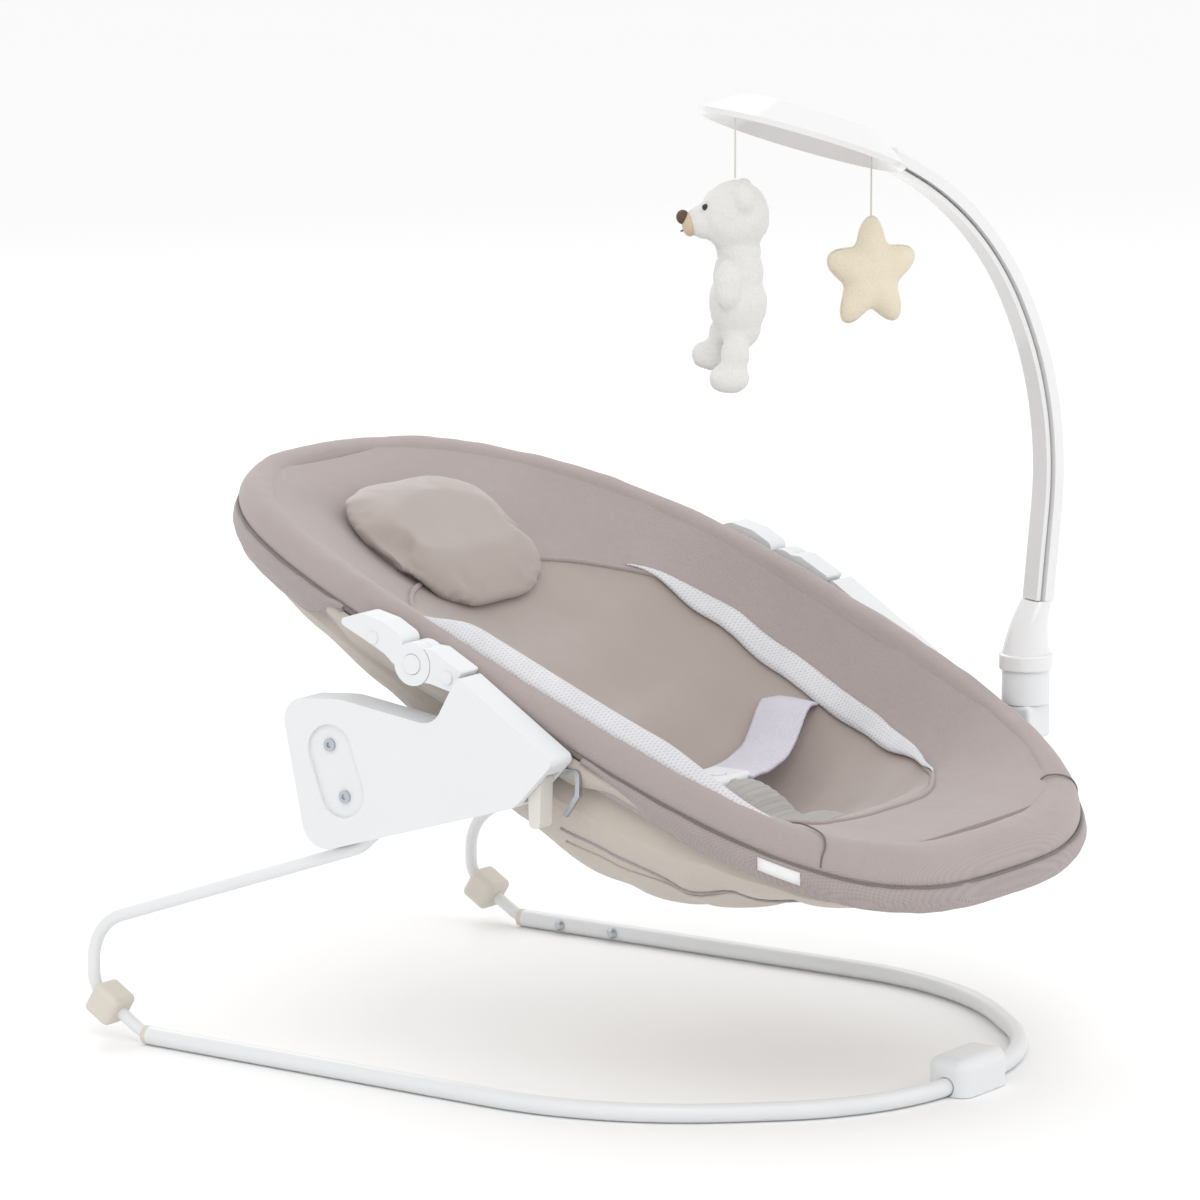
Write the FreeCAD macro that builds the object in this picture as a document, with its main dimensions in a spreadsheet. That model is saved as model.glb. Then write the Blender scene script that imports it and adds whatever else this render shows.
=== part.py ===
"""Bouncer seat: floor frame, sprung carriage, reclining backrest and swivelling toy bar.

Frame: +Z up, floor at Z 0, foot end towards -Y, head end towards +Y, X 0 is the middle plane.
The origin is on the floor under the middle of the whole object. All sizes are millimetres.
"""
import FreeCAD, Part
import os
import re
from math import acos, cos, pi, radians, sin, sqrt, tan

V = FreeCAD.Vector
os.makedirs("parts", exist_ok=True)
doc = FreeCAD.newDocument("bouncer_seat")

# ---------------------------------------------------------------- driving dimensions
SIZES = [
    # floor frame
    ("tube_radius", 6.5, "base tube outer radius"),
    ("tube_wall", 1.2, "wall of every steel tube"),
    ("base_half_width", 231.5, "tube axis at the widest place"),
    ("base_rear_half", 227.5, "tube and wire axis at the rear"),
    ("base_rear_y", 262.0, "rear end of the base tubes"),
    ("base_front_y", -279.0, "tube axis at the front"),
    ("wire_radius", 4.5, "spring wire radius"),
    ("foot_length", 58.0, "front foot along X"),
    ("foot_depth", 34.0, "front foot along Y"),
    ("foot_height", 27.0, "front foot height"),
    ("bumper_size", 24.0, "rear bumper block edge"),
    # side arms
    ("arm_outer_x", 243.0, "outer face of a side arm"),
    ("arm_inner_x", 218.0, "inner face of a side arm"),
    ("arm_wall", 3.0, "wall of an arm shell"),
    ("arm_recess", 2.5, "depth of the screw recess"),
    # seat frame
    ("frame_radius", 9.0, "seat and backrest tube outer radius"),
    ("frame_half", 201.0, "seat tube axis from the middle plane"),
    ("rim_half", 214.0, "fabric rim from the middle plane"),
    ("pivot_y", 22.6, "recline axis"),
    ("pivot_height", 302.0, "recline axis above the floor"),
    ("hinge_outer_x", 236.0, "outer face of a recline hinge"),
    ("hinge_mid_x", 226.0, "sliding face between the two hinge discs"),
    ("hinge_inner_x", 216.0, "inner face of a recline hinge"),
    ("hinge_disc", 15.0, "radius of the hinge discs"),
    ("button_radius", 7.0, "recline button radius"),
    ("cross_bar_radius", 8.0, "cross bar outer radius"),
    # toy bar
    ("bar_x", 222.0, "toy bar swivel axis"),
    ("bar_y", -186.0, "toy bar swivel axis"),
    ("socket_radius", 17.2, "toy bar socket outer radius"),
    ("spigot_radius", 11.0, "toy bar spigot radius"),
    ("collar_radius", 19.7, "toy bar collar radius"),
    ("ring_outer", 74.3, "toy ring lower edge radius"),
    ("ring_inner", 49.6, "toy ring upper edge radius"),
    ("ring_height", 16.6, "rise of the ring band"),
    ("ring_reach", 194.0, "ring centre from the swivel axis"),
    ("ring_centre_z", 651.6, "ring centre above the floor"),
    ("ring_tilt", 19.3, "ring tilt in degrees"),
    ("string_radius", 0.6, "toy string radius"),
    ("tab_pin_radius", 1.8, "latch tab pin radius"),
    ("screw_radius", 2.4, "arm screw radius"),
    ("rivet_radius", 3.0, "frame rivet radius"),
    ("bolt_radius", 3.0, "toy bar bolt radius"),
    ("hinge_pin_radius", 4.2, "recline hinge pin radius"),
    ("running_gap", 0.05, "radial clearance of a running fit"),
    ("plug_gap", 0.6, "radial clearance of the tube plug insert"),
]
sheet = doc.addObject("Spreadsheet::Sheet", "Sizes")
for row, (alias, value, note) in enumerate(SIZES, start=1):
    sheet.set(f"A{row}", alias)
    sheet.set(f"B{row}", str(value))
    sheet.set(f"C{row}", note)
    sheet.setAlias(f"B{row}", alias)
doc.recompute()


def size(alias):
    """One driving dimension, read back from the sheet."""
    return float(sheet.get(alias))


NODES = {}  # label -> document object, in the order they are made


def node(label, obj):
    """Name a finished sub-part: its Label is its file's name."""
    obj.Label = label
    NODES[label] = obj
    return obj


def bind(obj, **expressions):
    """Bind properties to sheet cells, such as Radius='wire_radius'."""
    aliases = {alias for alias, _, _ in SIZES}
    for prop, words in expressions.items():
        text = re.sub(r"[a-z_]+", lambda w: f"Sizes.{w[0]}" if w[0] in aliases else w[0], words)
        obj.setExpression(prop, text)
    return obj


# ---------------------------------------------------------------- shape helpers
def rounded_path(points, bends, closed=False):
    """Line and tangent arc edges through corner points, one bend radius to a corner."""
    pts = [V(*p) for p in points]
    count = len(pts)
    corners = range(count) if closed else range(1, count - 1)
    arcs = {}
    for i in corners:
        radius = bends[i] if closed else bends[i - 1]
        before = (pts[i - 1] - pts[i]).normalize()
        after = (pts[(i + 1) % count] - pts[i]).normalize()
        half = before.getAngle(after) / 2
        run = radius / tan(half)
        middle = (before + after).normalize()
        centre = pts[i] + middle * (radius / sin(half))
        arcs[i] = (pts[i] + before * run, centre - middle * radius, pts[i] + after * run)
    edges = []
    last = arcs[count - 1][2] if closed else pts[0]
    for i in range(count) if closed else range(1, count):
        target = arcs[i][0] if i in arcs else pts[i]
        if (target - last).Length > 1e-4:
            edges.append(Part.LineSegment(last, target))
        if i in arcs:
            edges.append(Part.Arc(*arcs[i]))
            last = arcs[i][2]
        else:
            last = target
    return edges


def largest_bends(points, share=0.48):
    """Bend radii that use up to this share of the runs beside each corner."""
    pts = [V(*p) for p in points]
    bends = []
    for i in range(1, len(pts) - 1):
        before, after = pts[i - 1] - pts[i], pts[i + 1] - pts[i]
        run = share * min(before.Length, after.Length)
        bends.append(run * tan(before.getAngle(after) / 2))
    return bends


def spine(name, points, bends):
    """A bent path as a document object."""
    path = doc.addObject("Part::Feature", name)
    path.Shape = Part.Wire([g.toShape() for g in rounded_path(points, bends)])
    return path


def circle_at(name, points, radius_words):
    """A round section square to the start of a path."""
    circle = doc.addObject("Part::Circle", name)
    bind(circle, Radius=radius_words)
    along = V(*points[1]) - V(*points[0])
    circle.Placement = FreeCAD.Placement(V(*points[0]), FreeCAD.Rotation(V(0, 0, 1), along))
    return circle


def sweep(name, path, section):
    """A solid swept along a whole path."""
    swept = doc.addObject("Part::Sweep", name)
    swept.Sections = [section]
    swept.Spine = (path, [f"Edge{i + 1}" for i in range(len(path.Shape.Edges))])
    swept.Solid = True
    swept.Frenet = False
    return swept


def rod(name, points, bends, radius_words):
    """A solid round rod along a bent path."""
    section = circle_at(name + "_section", points, radius_words)
    return sweep(name, spine(name + "_path", points, bends), section)


def pipe(name, points, bends, radius_words):
    """A round tube along a bent path, with the common wall thickness."""
    path = spine(name + "_path", points, bends)
    outside = sweep(name + "_outside", path, circle_at(name + "_outer", points, radius_words))
    inside = sweep(name + "_inside", path, circle_at(name + "_inner", points, radius_words + " - tube_wall"))
    return cut(name, outside, inside)


def cut(name, base, tool):
    """Base without tool."""
    result = doc.addObject("Part::Cut", name)
    result.Base, result.Tool = base, tool
    return result


def fuse(name, *shapes):
    """Several shapes as one."""
    result = doc.addObject("Part::MultiFuse", name)
    result.Shapes = list(shapes)
    result.Refine = True
    return result


def cylinder(name, start, along, radius_words, length):
    """A cylinder from a point along a direction."""
    body = doc.addObject("Part::Cylinder", name)
    bind(body, Radius=radius_words)
    body.Height = length
    body.Placement = FreeCAD.Placement(V(*start), FreeCAD.Rotation(V(0, 0, 1), V(*along)))
    return body


def block(name, low, high):
    """A box from its lowest to its highest corner."""
    body = doc.addObject("Part::Box", name)
    body.Length, body.Width, body.Height = [b - a for a, b in zip(low, high)]
    body.Placement.Base = V(*low)
    return body


def round_edges(name, body, radius):
    """Every edge of a simple body rounded."""
    doc.recompute()
    result = doc.addObject("Part::Fillet", name)
    result.Base = body
    result.Edges = [(i + 1, radius, radius) for i in range(len(body.Shape.Edges))]
    return result


def side_body(name, corners, bends, start_x, length_words):
    """A PartDesign body: an outline in the Y, Z plane padded along +X."""
    body = doc.addObject("PartDesign::Body", name)
    sketch = outline(body, name + "_outline", corners, bends, start_x)
    pad = body.newObject("PartDesign::Pad", name + "_pad")
    pad.Profile = sketch
    bind(pad, Length=length_words)
    doc.recompute()
    return body


def outline(body, name, corners, bends, at_x):
    """A closed sketch on the body's Y, Z plane, moved to a place along X."""
    sketch = body.newObject("Sketcher::SketchObject", name)
    plane = [f for f in body.Origin.OriginFeatures if f.Role == "YZ_Plane"][0]
    sketch.AttachmentSupport = (plane, [""])
    sketch.MapMode = "FlatFace"
    sketch.AttachmentOffset = FreeCAD.Placement(V(0, 0, at_x), FreeCAD.Rotation())
    flat = [(y, z, 0) for y, z in corners]
    sketch.addGeometry(rounded_path(flat, bends, closed=True), False)
    return sketch


def side_pocket(body, name, corners, bends, at_x, depth, towards_plus):
    """A pocket into the side of a body, cut from a plane along +X or -X."""
    before = body.Shape.Volume
    sketch = outline(body, name + "_outline", corners, bends, at_x)
    pocket = body.newObject("PartDesign::Pocket", name)
    pocket.Profile = sketch
    pocket.Length = depth
    pocket.Reversed = towards_plus
    doc.recompute()
    if body.Shape.Volume > before - 1:
        raise RuntimeError(f"{name} cuts nothing")
    return pocket


def slot_outline(centre, length, width, lean):
    """Four corners of a slot whose long side leans from the vertical, and its bends."""
    cy, cz = centre
    up = (sin(radians(lean)), cos(radians(lean)))
    across = (cos(radians(lean)), -sin(radians(lean)))
    corners = []
    for u, a in ((-1, -1), (-1, 1), (1, 1), (1, -1)):
        y = cy + up[0] * u * length / 2 + across[0] * a * width / 2
        z = cz + up[1] * u * length / 2 + across[1] * a * width / 2
        corners.append((y, z))
    return corners, [width * 0.48] * 4


SIDES = (("left", -1), ("right", 1))


# ---------------------------------------------------------------- fabric rim and hollow
RIM_MIDDLE_Y, RIM_HEAD_Y, RIM_FOOT_Y = -24.6, 297.5, -310.3
HEAD_ROUND, FOOT_ROUND = 2.39, 3.03  # superellipse exponents of the plan


def rim_half(y):
    """Half width of the fabric rim in plan."""
    head = y > RIM_MIDDLE_Y
    reach = (y - RIM_MIDDLE_Y) / ((RIM_HEAD_Y if head else RIM_FOOT_Y) - RIM_MIDDLE_Y)
    power = HEAD_ROUND if head else FOOT_ROUND
    return size("rim_half") * max(0.0, 1 - abs(reach) ** power) ** (1 / power)


def rim_height(y):
    """Height of the rim seam above the floor: steep at the foot, flatter at the head."""
    u = (y - RIM_MIDDLE_Y) / 300
    return 280.1 + 121.2 * u - 16.0 * u ** 2 - 9.2 * u ** 3


# depth of the hollow under the seam, from foot end to head end
DEPTHS = [(-310, 16), (-285, 26), (-240, 46), (-196, 66), (-160, 96), (-115, 118), (-70, 128),
          (-20, 120), (26, 98), (90, 78), (150, 64), (220, 50), (270, 36), (297, 18)]


def hollow_depth(y):
    """Depth of the fabric trough below the seam, by straight steps between stations."""
    for (y0, d0), (y1, d1) in zip(DEPTHS, DEPTHS[1:]):
        if y0 <= y <= y1:
            return d0 + (d1 - d0) * (y - y0) / (y1 - y0)
    return DEPTHS[0][1] if y < DEPTHS[0][0] else DEPTHS[-1][1]


TROUGH_ROUND = 2.7   # superellipse exponent of the cross-section
TROUGH_DROP = 14.0   # the trough starts this far under the seam
RIM_RISE = 21.0      # the rim's crest above the seam
RIM_THICK = 27.0     # the padded rim from outside to inside


def trough_points(y, offset, within=None, steps=7):
    """Half section of the hollow, from the rim at -X down to the middle, offset inwards."""
    half, top = rim_half(y) - offset, rim_height(y) - TROUGH_DROP
    deep = max(hollow_depth(y) - TROUGH_DROP, 14.0) - offset
    first = acos(min(1.0, within / half) ** (TROUGH_ROUND / 2)) if within else 0.0
    points = []
    for i in range(steps + 1):
        angle = first + (pi / 2 - first) * i / steps
        x = -half * max(0.0, cos(angle)) ** (2 / TROUGH_ROUND)
        z = top - deep * sin(angle) ** (2 / TROUGH_ROUND)
        points.append(V(x, y, z))
    return points


def mirrored(points):
    """The same points on the other side, walked back from the middle."""
    return [V(-p.x, p.y, p.z) for p in reversed(points[:-1])]


def closed_polygon(points):
    """A closed wire of straight edges."""
    return Part.makePolygon(points + [points[0]])


def layer_section(y, outer, inner, within=None):
    """Closed U-shaped section of a thin fabric layer."""
    down_out, down_in = trough_points(y, outer, within), trough_points(y, inner, within)
    return closed_polygon(down_out + mirrored(down_out) + list(reversed(down_in + mirrored(down_in))))


def rim_inside(y):
    """Inner edge of the padded rim in plan: the rim keeps its thickness where it turns."""
    half = rim_half(y)
    slant = (rim_half(y + 1) - rim_half(y - 1)) / 2
    return half - min(RIM_THICK * sqrt(1 + slant ** 2), half * 0.7)


def cover_section(y, filled=False):
    """Closed section of the cover: a padded rim each side and a thin layer between."""
    half, seam, edge = rim_half(y), rim_height(y), rim_inside(y)
    thick = half - edge
    crest = [V(-half + thick * 0.3, y, seam + RIM_RISE), V(-half, y, seam + 8), V(-half + 1, y, seam - 9)]
    down_out = crest + trough_points(y, COVER_OUT)
    across = down_out + mirrored(down_out)
    if filled:
        return closed_polygon(across)
    inside = [V(-edge - thick * 0.2, y, seam + RIM_RISE - 1), V(-edge, y, seam + 5), V(-edge, y, seam - 9)]
    down_in = inside + trough_points(y, COVER_IN, edge)
    return closed_polygon(across + list(reversed(down_in + mirrored(down_in))))


def loft(name, wires):
    """A closed solid lofted straight between its sections."""
    shell = doc.addObject("Part::Feature", name)
    shell.Shape = Part.makeLoft(wires, True, True)
    return shell


SLING_OUT, SLING_IN = 0.0, 3.0    # layers of the hollow, as offsets inwards
COVER_OUT, COVER_IN = 4.0, 10.0
LINER_OUT, LINER_IN = 12.0, 21.0


# ---------------------------------------------------------------- floor frame
REAR_Y, REAR_X = size("base_rear_y"), size("base_rear_half")
FLOOR_AXIS = size("tube_radius")  # height of the base tube's axis
FOOT_HALF = size("foot_length") / 2


def base_tube(side, sign):
    """Half of the floor loop: from the rear sleeve round to the front foot."""
    wide, front = size("base_half_width"), size("base_front_y")
    points = [(sign * REAR_X, REAR_Y, FLOOR_AXIS), (sign * wide, -27, FLOOR_AXIS),
              (sign * wide, -131.4, FLOOR_AXIS), (sign * 95.9, front, FLOOR_AXIS),
              (sign * 8, front, FLOOR_AXIS)]
    return node(f"base_tube_{side}", pipe(f"base_tube_{side}", points, [900, 230, 180], "tube_radius"))


def wire_points(sign):
    """Axis of the spring wire: out of the tube, round the rear bend and up into the side arm."""
    x = sign * REAR_X
    return [(x, REAR_Y - 30, FLOOR_AXIS), (x, 266, FLOOR_AXIS), (x, 312.5, 34.2),
            (x, 312.5, 81.5), (x, 74, 166.3), (x, 25, 209.7)]


WIRE_BENDS = [30, 22, 38, 30]
BUMPER_AT = (298.0, 25.6)  # Y, Z of a bumper's middle, on the wire's sloping run


def spring_wire(side, sign):
    """Bent spring steel wire that carries a side arm."""
    name = f"spring_wire_{side}"
    return node(name, rod(name, wire_points(sign), WIRE_BENDS, "wire_radius"))


def rear_bumper(side, sign, wire):
    """Rounded rubber block threaded on the wire."""
    edge = size("bumper_size")
    name = f"rear_bumper_{side}"
    body = block(name + "_block", (-edge / 2, -edge / 2, -edge / 2), (edge / 2, edge / 2, edge / 2))
    body.Placement = FreeCAD.Placement(V(0, 0, 0), FreeCAD.Rotation(V(1, 0, 0), 31))
    corner = body.Placement.Rotation.multVec(V(-1, -1, -1) * edge / 2)
    body.Placement.Base = V(sign * REAR_X, *BUMPER_AT) + corner
    return node(name, cut(name, round_edges(name + "_rounded", body, 4.5), wire))


def tube_plug(side, sign, wire):
    """Plastic plug that closes the rear end of a base tube round the wire."""
    name = f"tube_plug_{side}"
    x = sign * REAR_X
    collar = cylinder(name + "_collar", (x, REAR_Y, FLOOR_AXIS), (0, 1, 0), "tube_radius", 4)
    insert = cylinder(name + "_insert", (x, REAR_Y - 25, FLOOR_AXIS), (0, 1, 0),
                      "tube_radius - tube_wall - plug_gap", 25)
    return node(name, cut(name, fuse(name + "_plug", collar, insert), wire))


def base_screws(tubes, plugs):
    """Two button-head screws through the inner side of each tube's rear end."""
    heads = []
    for side, sign in SIDES:
        for k, y in enumerate((225.0, 177.0)):
            inner = sign * (REAR_X + (225 - y) * 0.012 - size("tube_radius"))
            head = doc.addObject("Part::Cone", f"base_screw_{side}_{k}")
            head.Radius1, head.Radius2, head.Height = 4.2, 2.4, 2.2
            facing = FreeCAD.Rotation(V(0, 0, 1), V(-sign, 0, 0))
            head.Placement = FreeCAD.Placement(V(inner, y, FLOOR_AXIS), facing)
            heads.append(head)
    screws = cut("base_screws", fuse("base_screw_heads", *heads), fuse("base_tube_pair", *tubes))
    return node("base_screws", screws)


def front_foot(tubes):
    """Domed connector that joins the two base tubes at the front."""
    length, depth, height = size("foot_length"), size("foot_depth"), size("foot_height")
    front = size("base_front_y")
    body = block("foot_block", (-length / 2, front - depth / 2, 0), (length / 2, front + depth / 2, height))
    doc.recompute()
    rounded = doc.addObject("Part::Fillet", "foot_rounded")
    rounded.Base = body
    edges = []
    for i, edge in enumerate(body.Shape.Edges, start=1):
        upright = abs(edge.Vertexes[0].Z - edge.Vertexes[1].Z) > 1
        at_top = all(v.Z > height - 1 for v in edge.Vertexes)
        if upright:
            edges.append((i, 10, 10))
        elif at_top:
            edges.append((i, 9, 9))
    rounded.Edges = edges
    bores = [cylinder(f"foot_bore_{side}", (sign * 8, front, FLOOR_AXIS), (sign, 0, 0),
                      "tube_radius + 0.5", 60)
             for side, sign in SIDES]
    return node("front_foot", cut("front_foot", rounded, fuse("foot_bores", *bores)))


base_tubes = [base_tube(side, sign) for side, sign in SIDES]
wires = {side: spring_wire(side, sign) for side, sign in SIDES}
for side, sign in SIDES:
    rear_bumper(side, sign, wires[side])
plugs = [tube_plug(side, sign, wires[side]) for side, sign in SIDES]
base_screws(base_tubes, plugs)
front_foot(base_tubes)

# ---------------------------------------------------------------- side arms
ARM_CORNERS = [(131, 268), (108, 160), (-68, 214), (-101, 249), (-20.5, 299), (0, 262.5), (80, 272.5)]
ARM_BENDS = [17, 20, 24, 5, 3, 17, 60]
ARM_INSIDE = [(125.5, 263.5), (105, 165.2), (-66, 217.6), (-94, 248), (-22.5, 292), (-3, 257.5), (79, 267.5)]
ARM_INSIDE_BENDS = [13, 16, 20, 3, 2, 20, 55]
ARM_MIDDLE_X = (size("arm_outer_x") + size("arm_inner_x")) / 2
RECESS = ((83.0, 221.6), 66.0, 38.0, 20.0)      # middle, length, width, lean of the screw recess
ARM_SCREWS = [(89.4, 239.1), (76.7, 204.1)]     # Y, Z of the two screws in the recess
TAB_PIN = (-80.0, 232.0)                        # Y, Z of the latch tab's pin
CROSS_BAR = (104.0, 214.0)                      # Y, Z of the cross bar's axis


def arm_shell(name, sign, near_x, far_x, recess):
    """One half of a side arm: a hollow moulding open towards the other half."""
    low = min(sign * near_x, sign * far_x)
    length = "arm_outer_x / 2 - arm_inner_x / 2"
    body = side_body(name + "_body", ARM_CORNERS, ARM_BENDS, low, length)
    open_x = sign * ARM_MIDDLE_X
    depth = abs(far_x - ARM_MIDDLE_X) if recess else abs(near_x - ARM_MIDDLE_X)
    depth -= size("arm_wall") + (size("arm_recess") if recess else 0)
    side_pocket(body, name + "_hollow", ARM_INSIDE, ARM_INSIDE_BENDS, open_x, depth, (sign > 0) == recess)
    if recess:
        corners, bends = slot_outline(*RECESS)
        side_pocket(body, name + "_recess", corners, bends, sign * far_x, size("arm_recess"), sign < 0)
    return body


def arm(side, sign, wire):
    """Both shells of a side arm, with openings for the wire, the screws, the tab and the cross bar."""
    outer_x, inner_x = size("arm_outer_x"), size("arm_inner_x")
    way = cylinder(f"wire_way_{side}", (sign * REAR_X, 125, 148.2), (0, -1, 0.3555), "wire_radius + 1.5", 75)
    turned_way = cylinder(f"wire_turn_{side}", (sign * REAR_X, 80, 161), (0, -29, 25.7),
                          "wire_radius + 1.5", 90)
    slot = block(f"tab_slot_{side}", (min(sign * 236.5, sign * 221.5), -91, 195),
                 (max(sign * 236.5, sign * 221.5), -70.5, 243))
    pin = cylinder(f"tab_pin_{side}_bore", (sign * 219.5, *TAB_PIN), (sign, 0, 0), "tab_pin_radius", 19.5)
    screw_bores = [cylinder(f"arm_screw_bore_{side}_{k}", (sign * (inner_x + 1), y, z), (sign, 0, 0),
                            "screw_radius", 30) for k, (y, z) in enumerate(ARM_SCREWS)]
    bar_bore = cylinder(f"cross_bar_bore_{side}", (sign * (inner_x - 2), *CROSS_BAR), (sign, 0, 0),
                        "cross_bar_radius", 10)
    tools = fuse(f"arm_openings_{side}", way, turned_way, slot, pin, bar_bore, *screw_bores)
    outer = arm_shell(f"arm_outer_{side}", sign, ARM_MIDDLE_X, outer_x, True)
    inner = arm_shell(f"arm_inner_{side}", sign, inner_x, ARM_MIDDLE_X, False)
    node(f"arm_outer_shell_{side}", cut(f"arm_outer_shell_{side}", outer, tools))
    node(f"arm_inner_shell_{side}", cut(f"arm_inner_shell_{side}", inner, tools))


def arm_screws(side, sign):
    """Two socket screws that clamp the arm's halves on the wire clamp."""
    floor_x = size("arm_outer_x") - size("arm_recess")
    parts = []
    for k, (y, z) in enumerate(ARM_SCREWS):
        head = cylinder(f"arm_screw_head_{side}_{k}", (sign * floor_x, y, z), (sign, 0, 0),
                        "wire_radius", 1.8)
        shank_start = (sign * (size("arm_inner_x") + 1), y, z)
        shank = cylinder(f"arm_screw_shank_{side}_{k}", shank_start, (sign, 0, 0),
                         "screw_radius", floor_x - size("arm_inner_x") - 1)
        socket = doc.addObject("Part::Prism", f"arm_screw_socket_{side}_{k}")
        socket.Polygon, socket.Circumradius, socket.Height = 6, 2.2, 1.4
        facing = FreeCAD.Rotation(V(0, 0, 1), V(-sign, 0, 0))
        socket.Placement = FreeCAD.Placement(V(sign * (floor_x + 2), y, z), facing)
        parts.append(cut(f"arm_screw_{side}_{k}", fuse(f"arm_screw_solid_{side}_{k}", head, shank), socket))
    return node(f"arm_screws_{side}", fuse(f"arm_screws_{side}", *parts))


def wire_clamp(side, sign, wire):
    """Steel saddle inside the arm that holds the wire's end with the two screws."""
    name = f"wire_clamp_{side}"
    body = block(name + "_block", (sign * REAR_X - 5, 30, 198), (sign * REAR_X + 5, 98, 250))
    room = fuse(name + "_room", *[cylinder(f"{name}_bore_{k}", (sign * 215, y, z), (sign, 0, 0),
                                           "screw_radius", 30)
                                 for k, (y, z) in enumerate(ARM_SCREWS)],
                cylinder(name + "_wire", (sign * REAR_X, 125, 148.2), (0, -1, 0.3555),
                         "wire_radius + 1.5", 75),
                cylinder(name + "_end", (sign * REAR_X, 74, 166.3), (0, -29, 25.7), "wire_radius + 1.5", 80))
    return node(name, cut(name, body, room))


def cross_bar():
    """Straight steel tube that ties the two arms together under the backrest."""
    reach = size("arm_inner_x")
    outside = cylinder("cross_bar_outside", (-reach, *CROSS_BAR), (1, 0, 0), "cross_bar_radius", 2 * reach)
    inside = cylinder("cross_bar_inside", (-reach, *CROSS_BAR), (1, 0, 0),
                      "cross_bar_radius - tube_wall", 2 * reach)
    return node("cross_bar", cut("cross_bar", outside, inside))


def latch_plate(side, sign):
    """Bent steel strip at the front of an arm that the latch tab locks."""
    name = f"latch_plate_{side}"
    corners = [(-84, 240), (-104, 240), (-104, 222), (-93, 206),
               (-90.5, 208), (-100.5, 223), (-100.5, 236.5), (-84, 236.5)]
    low = min(sign * 217.6, sign * 214.4)
    body = side_body(name, corners, [0.5, 4, 3, 0.6, 0.6, 2, 2, 0.5], low, "arm_outer_x - arm_inner_x - 21.8")
    return node(name, body)


def latch_tab(side, sign):
    """Lever that hangs from the front of an arm and releases the latch, with its cross pin."""
    name = f"latch_tab_{side}"
    py, pz = TAB_PIN
    corners = [(py - 5.5, pz + 6), (py + 5.5, pz + 6), (py + 4.5, pz - 32), (py - 4.5, pz - 32)]
    low = min(sign * 236, sign * 222)
    lever = side_body(name + "_lever", corners, [4, 4, 3.5, 3.5], low, "arm_outer_x - arm_inner_x - 11")
    pin = cylinder(name + "_pin", (sign * 219.5, py, pz), (sign, 0, 0), "tab_pin_radius - running_gap", 19.5)
    return node(name, fuse(name, lever, pin))


for side, sign in SIDES:
    arm(side, sign, wires[side])
    arm_screws(side, sign)
    wire_clamp(side, sign, wires[side])
    latch_plate(side, sign)
    latch_tab(side, sign)
cross_bar()

# ---------------------------------------------------------------- seat and backrest frames
FRAME_HALF = size("frame_half")
SEAT_PATH = [(-200.5, 10, 303.3 - 9.8), (-FRAME_HALF, -184.7, 0), (-118, -297.3, 0)]
BACK_PATH = [(-199.5, 38, 0), (-200, 128.7, 0), (-99.7, 284.5, 0)]
SEAT_SLOPE, SEAT_REF = 0.4296, (-7.2, 296.0)   # rise per mm of Y, and a Y, Z point on the tube's axis
BACK_SLOPE, BACK_REF = 0.2936, (55.7, 317.0)


def in_plane(points, slope, ref):
    """Lift plan points on to an inclined plane and mirror them into a whole U."""
    near = [(x, y, ref[1] + slope * (y - ref[0])) for x, y, _ in points]
    return near + [(-x, y, z) for x, y, z in reversed(near)]


SEAT_POINTS = in_plane(SEAT_PATH, SEAT_SLOPE, SEAT_REF)
BACK_POINTS = in_plane(BACK_PATH, BACK_SLOPE, BACK_REF)
UPPER_RIVET = (55.7, 317.0)    # Y, Z
LOWER_RIVET = (-7.2, 296.0)
PIVOT = (size("pivot_y"), size("pivot_height"))
BAR_X, BAR_Y = size("bar_x"), size("bar_y")
BOLT_Z = SEAT_REF[1] + SEAT_SLOPE * (BAR_Y - SEAT_REF[0])   # the toy bar's bolt meets the tube's axis


def frame_tube(name, points):
    """U-shaped steel tube inside the fabric rim, with rivet holes through both ends."""
    tube = pipe(name + "_bent", points, largest_bends(points), "frame_radius")
    y, z = UPPER_RIVET if name == "backrest_tube" else LOWER_RIVET
    holes = [cylinder(f"{name}_bolt_hole", (BAR_X, BAR_Y, BOLT_Z), (-1, 0, 0), "bolt_radius", 52)]
    holes += [cylinder(f"{name}_hole_{side}", (sign * 185, y, z), (sign, 0, 0), "rivet_radius", 30)
             for side, sign in SIDES]
    return node(name, cut(name, tube, fuse(name + "_holes", *holes)))


def hinge_half(name, sign, corners, bends, disc_near, disc_far, clear_near, clear_far):
    """A hinge housing: a full-width arm, with a disc in one layer and room for the other disc."""
    low = min(sign * size("hinge_inner_x"), sign * size("hinge_outer_x"))
    arm_part = side_body(name + "_arm", corners, bends, low, "hinge_outer_x - hinge_inner_x")
    room = cylinder(name + "_room", (sign * clear_near, *PIVOT), (sign, 0, 0), "hinge_disc + 0.6",
                    clear_far - clear_near)
    disc = cylinder(name + "_disc", (sign * disc_near, *PIVOT), (sign, 0, 0),
                    "hinge_disc", disc_far - disc_near)
    return fuse(name + "_solid", cut(name + "_cleared", arm_part, room), disc)


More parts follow.
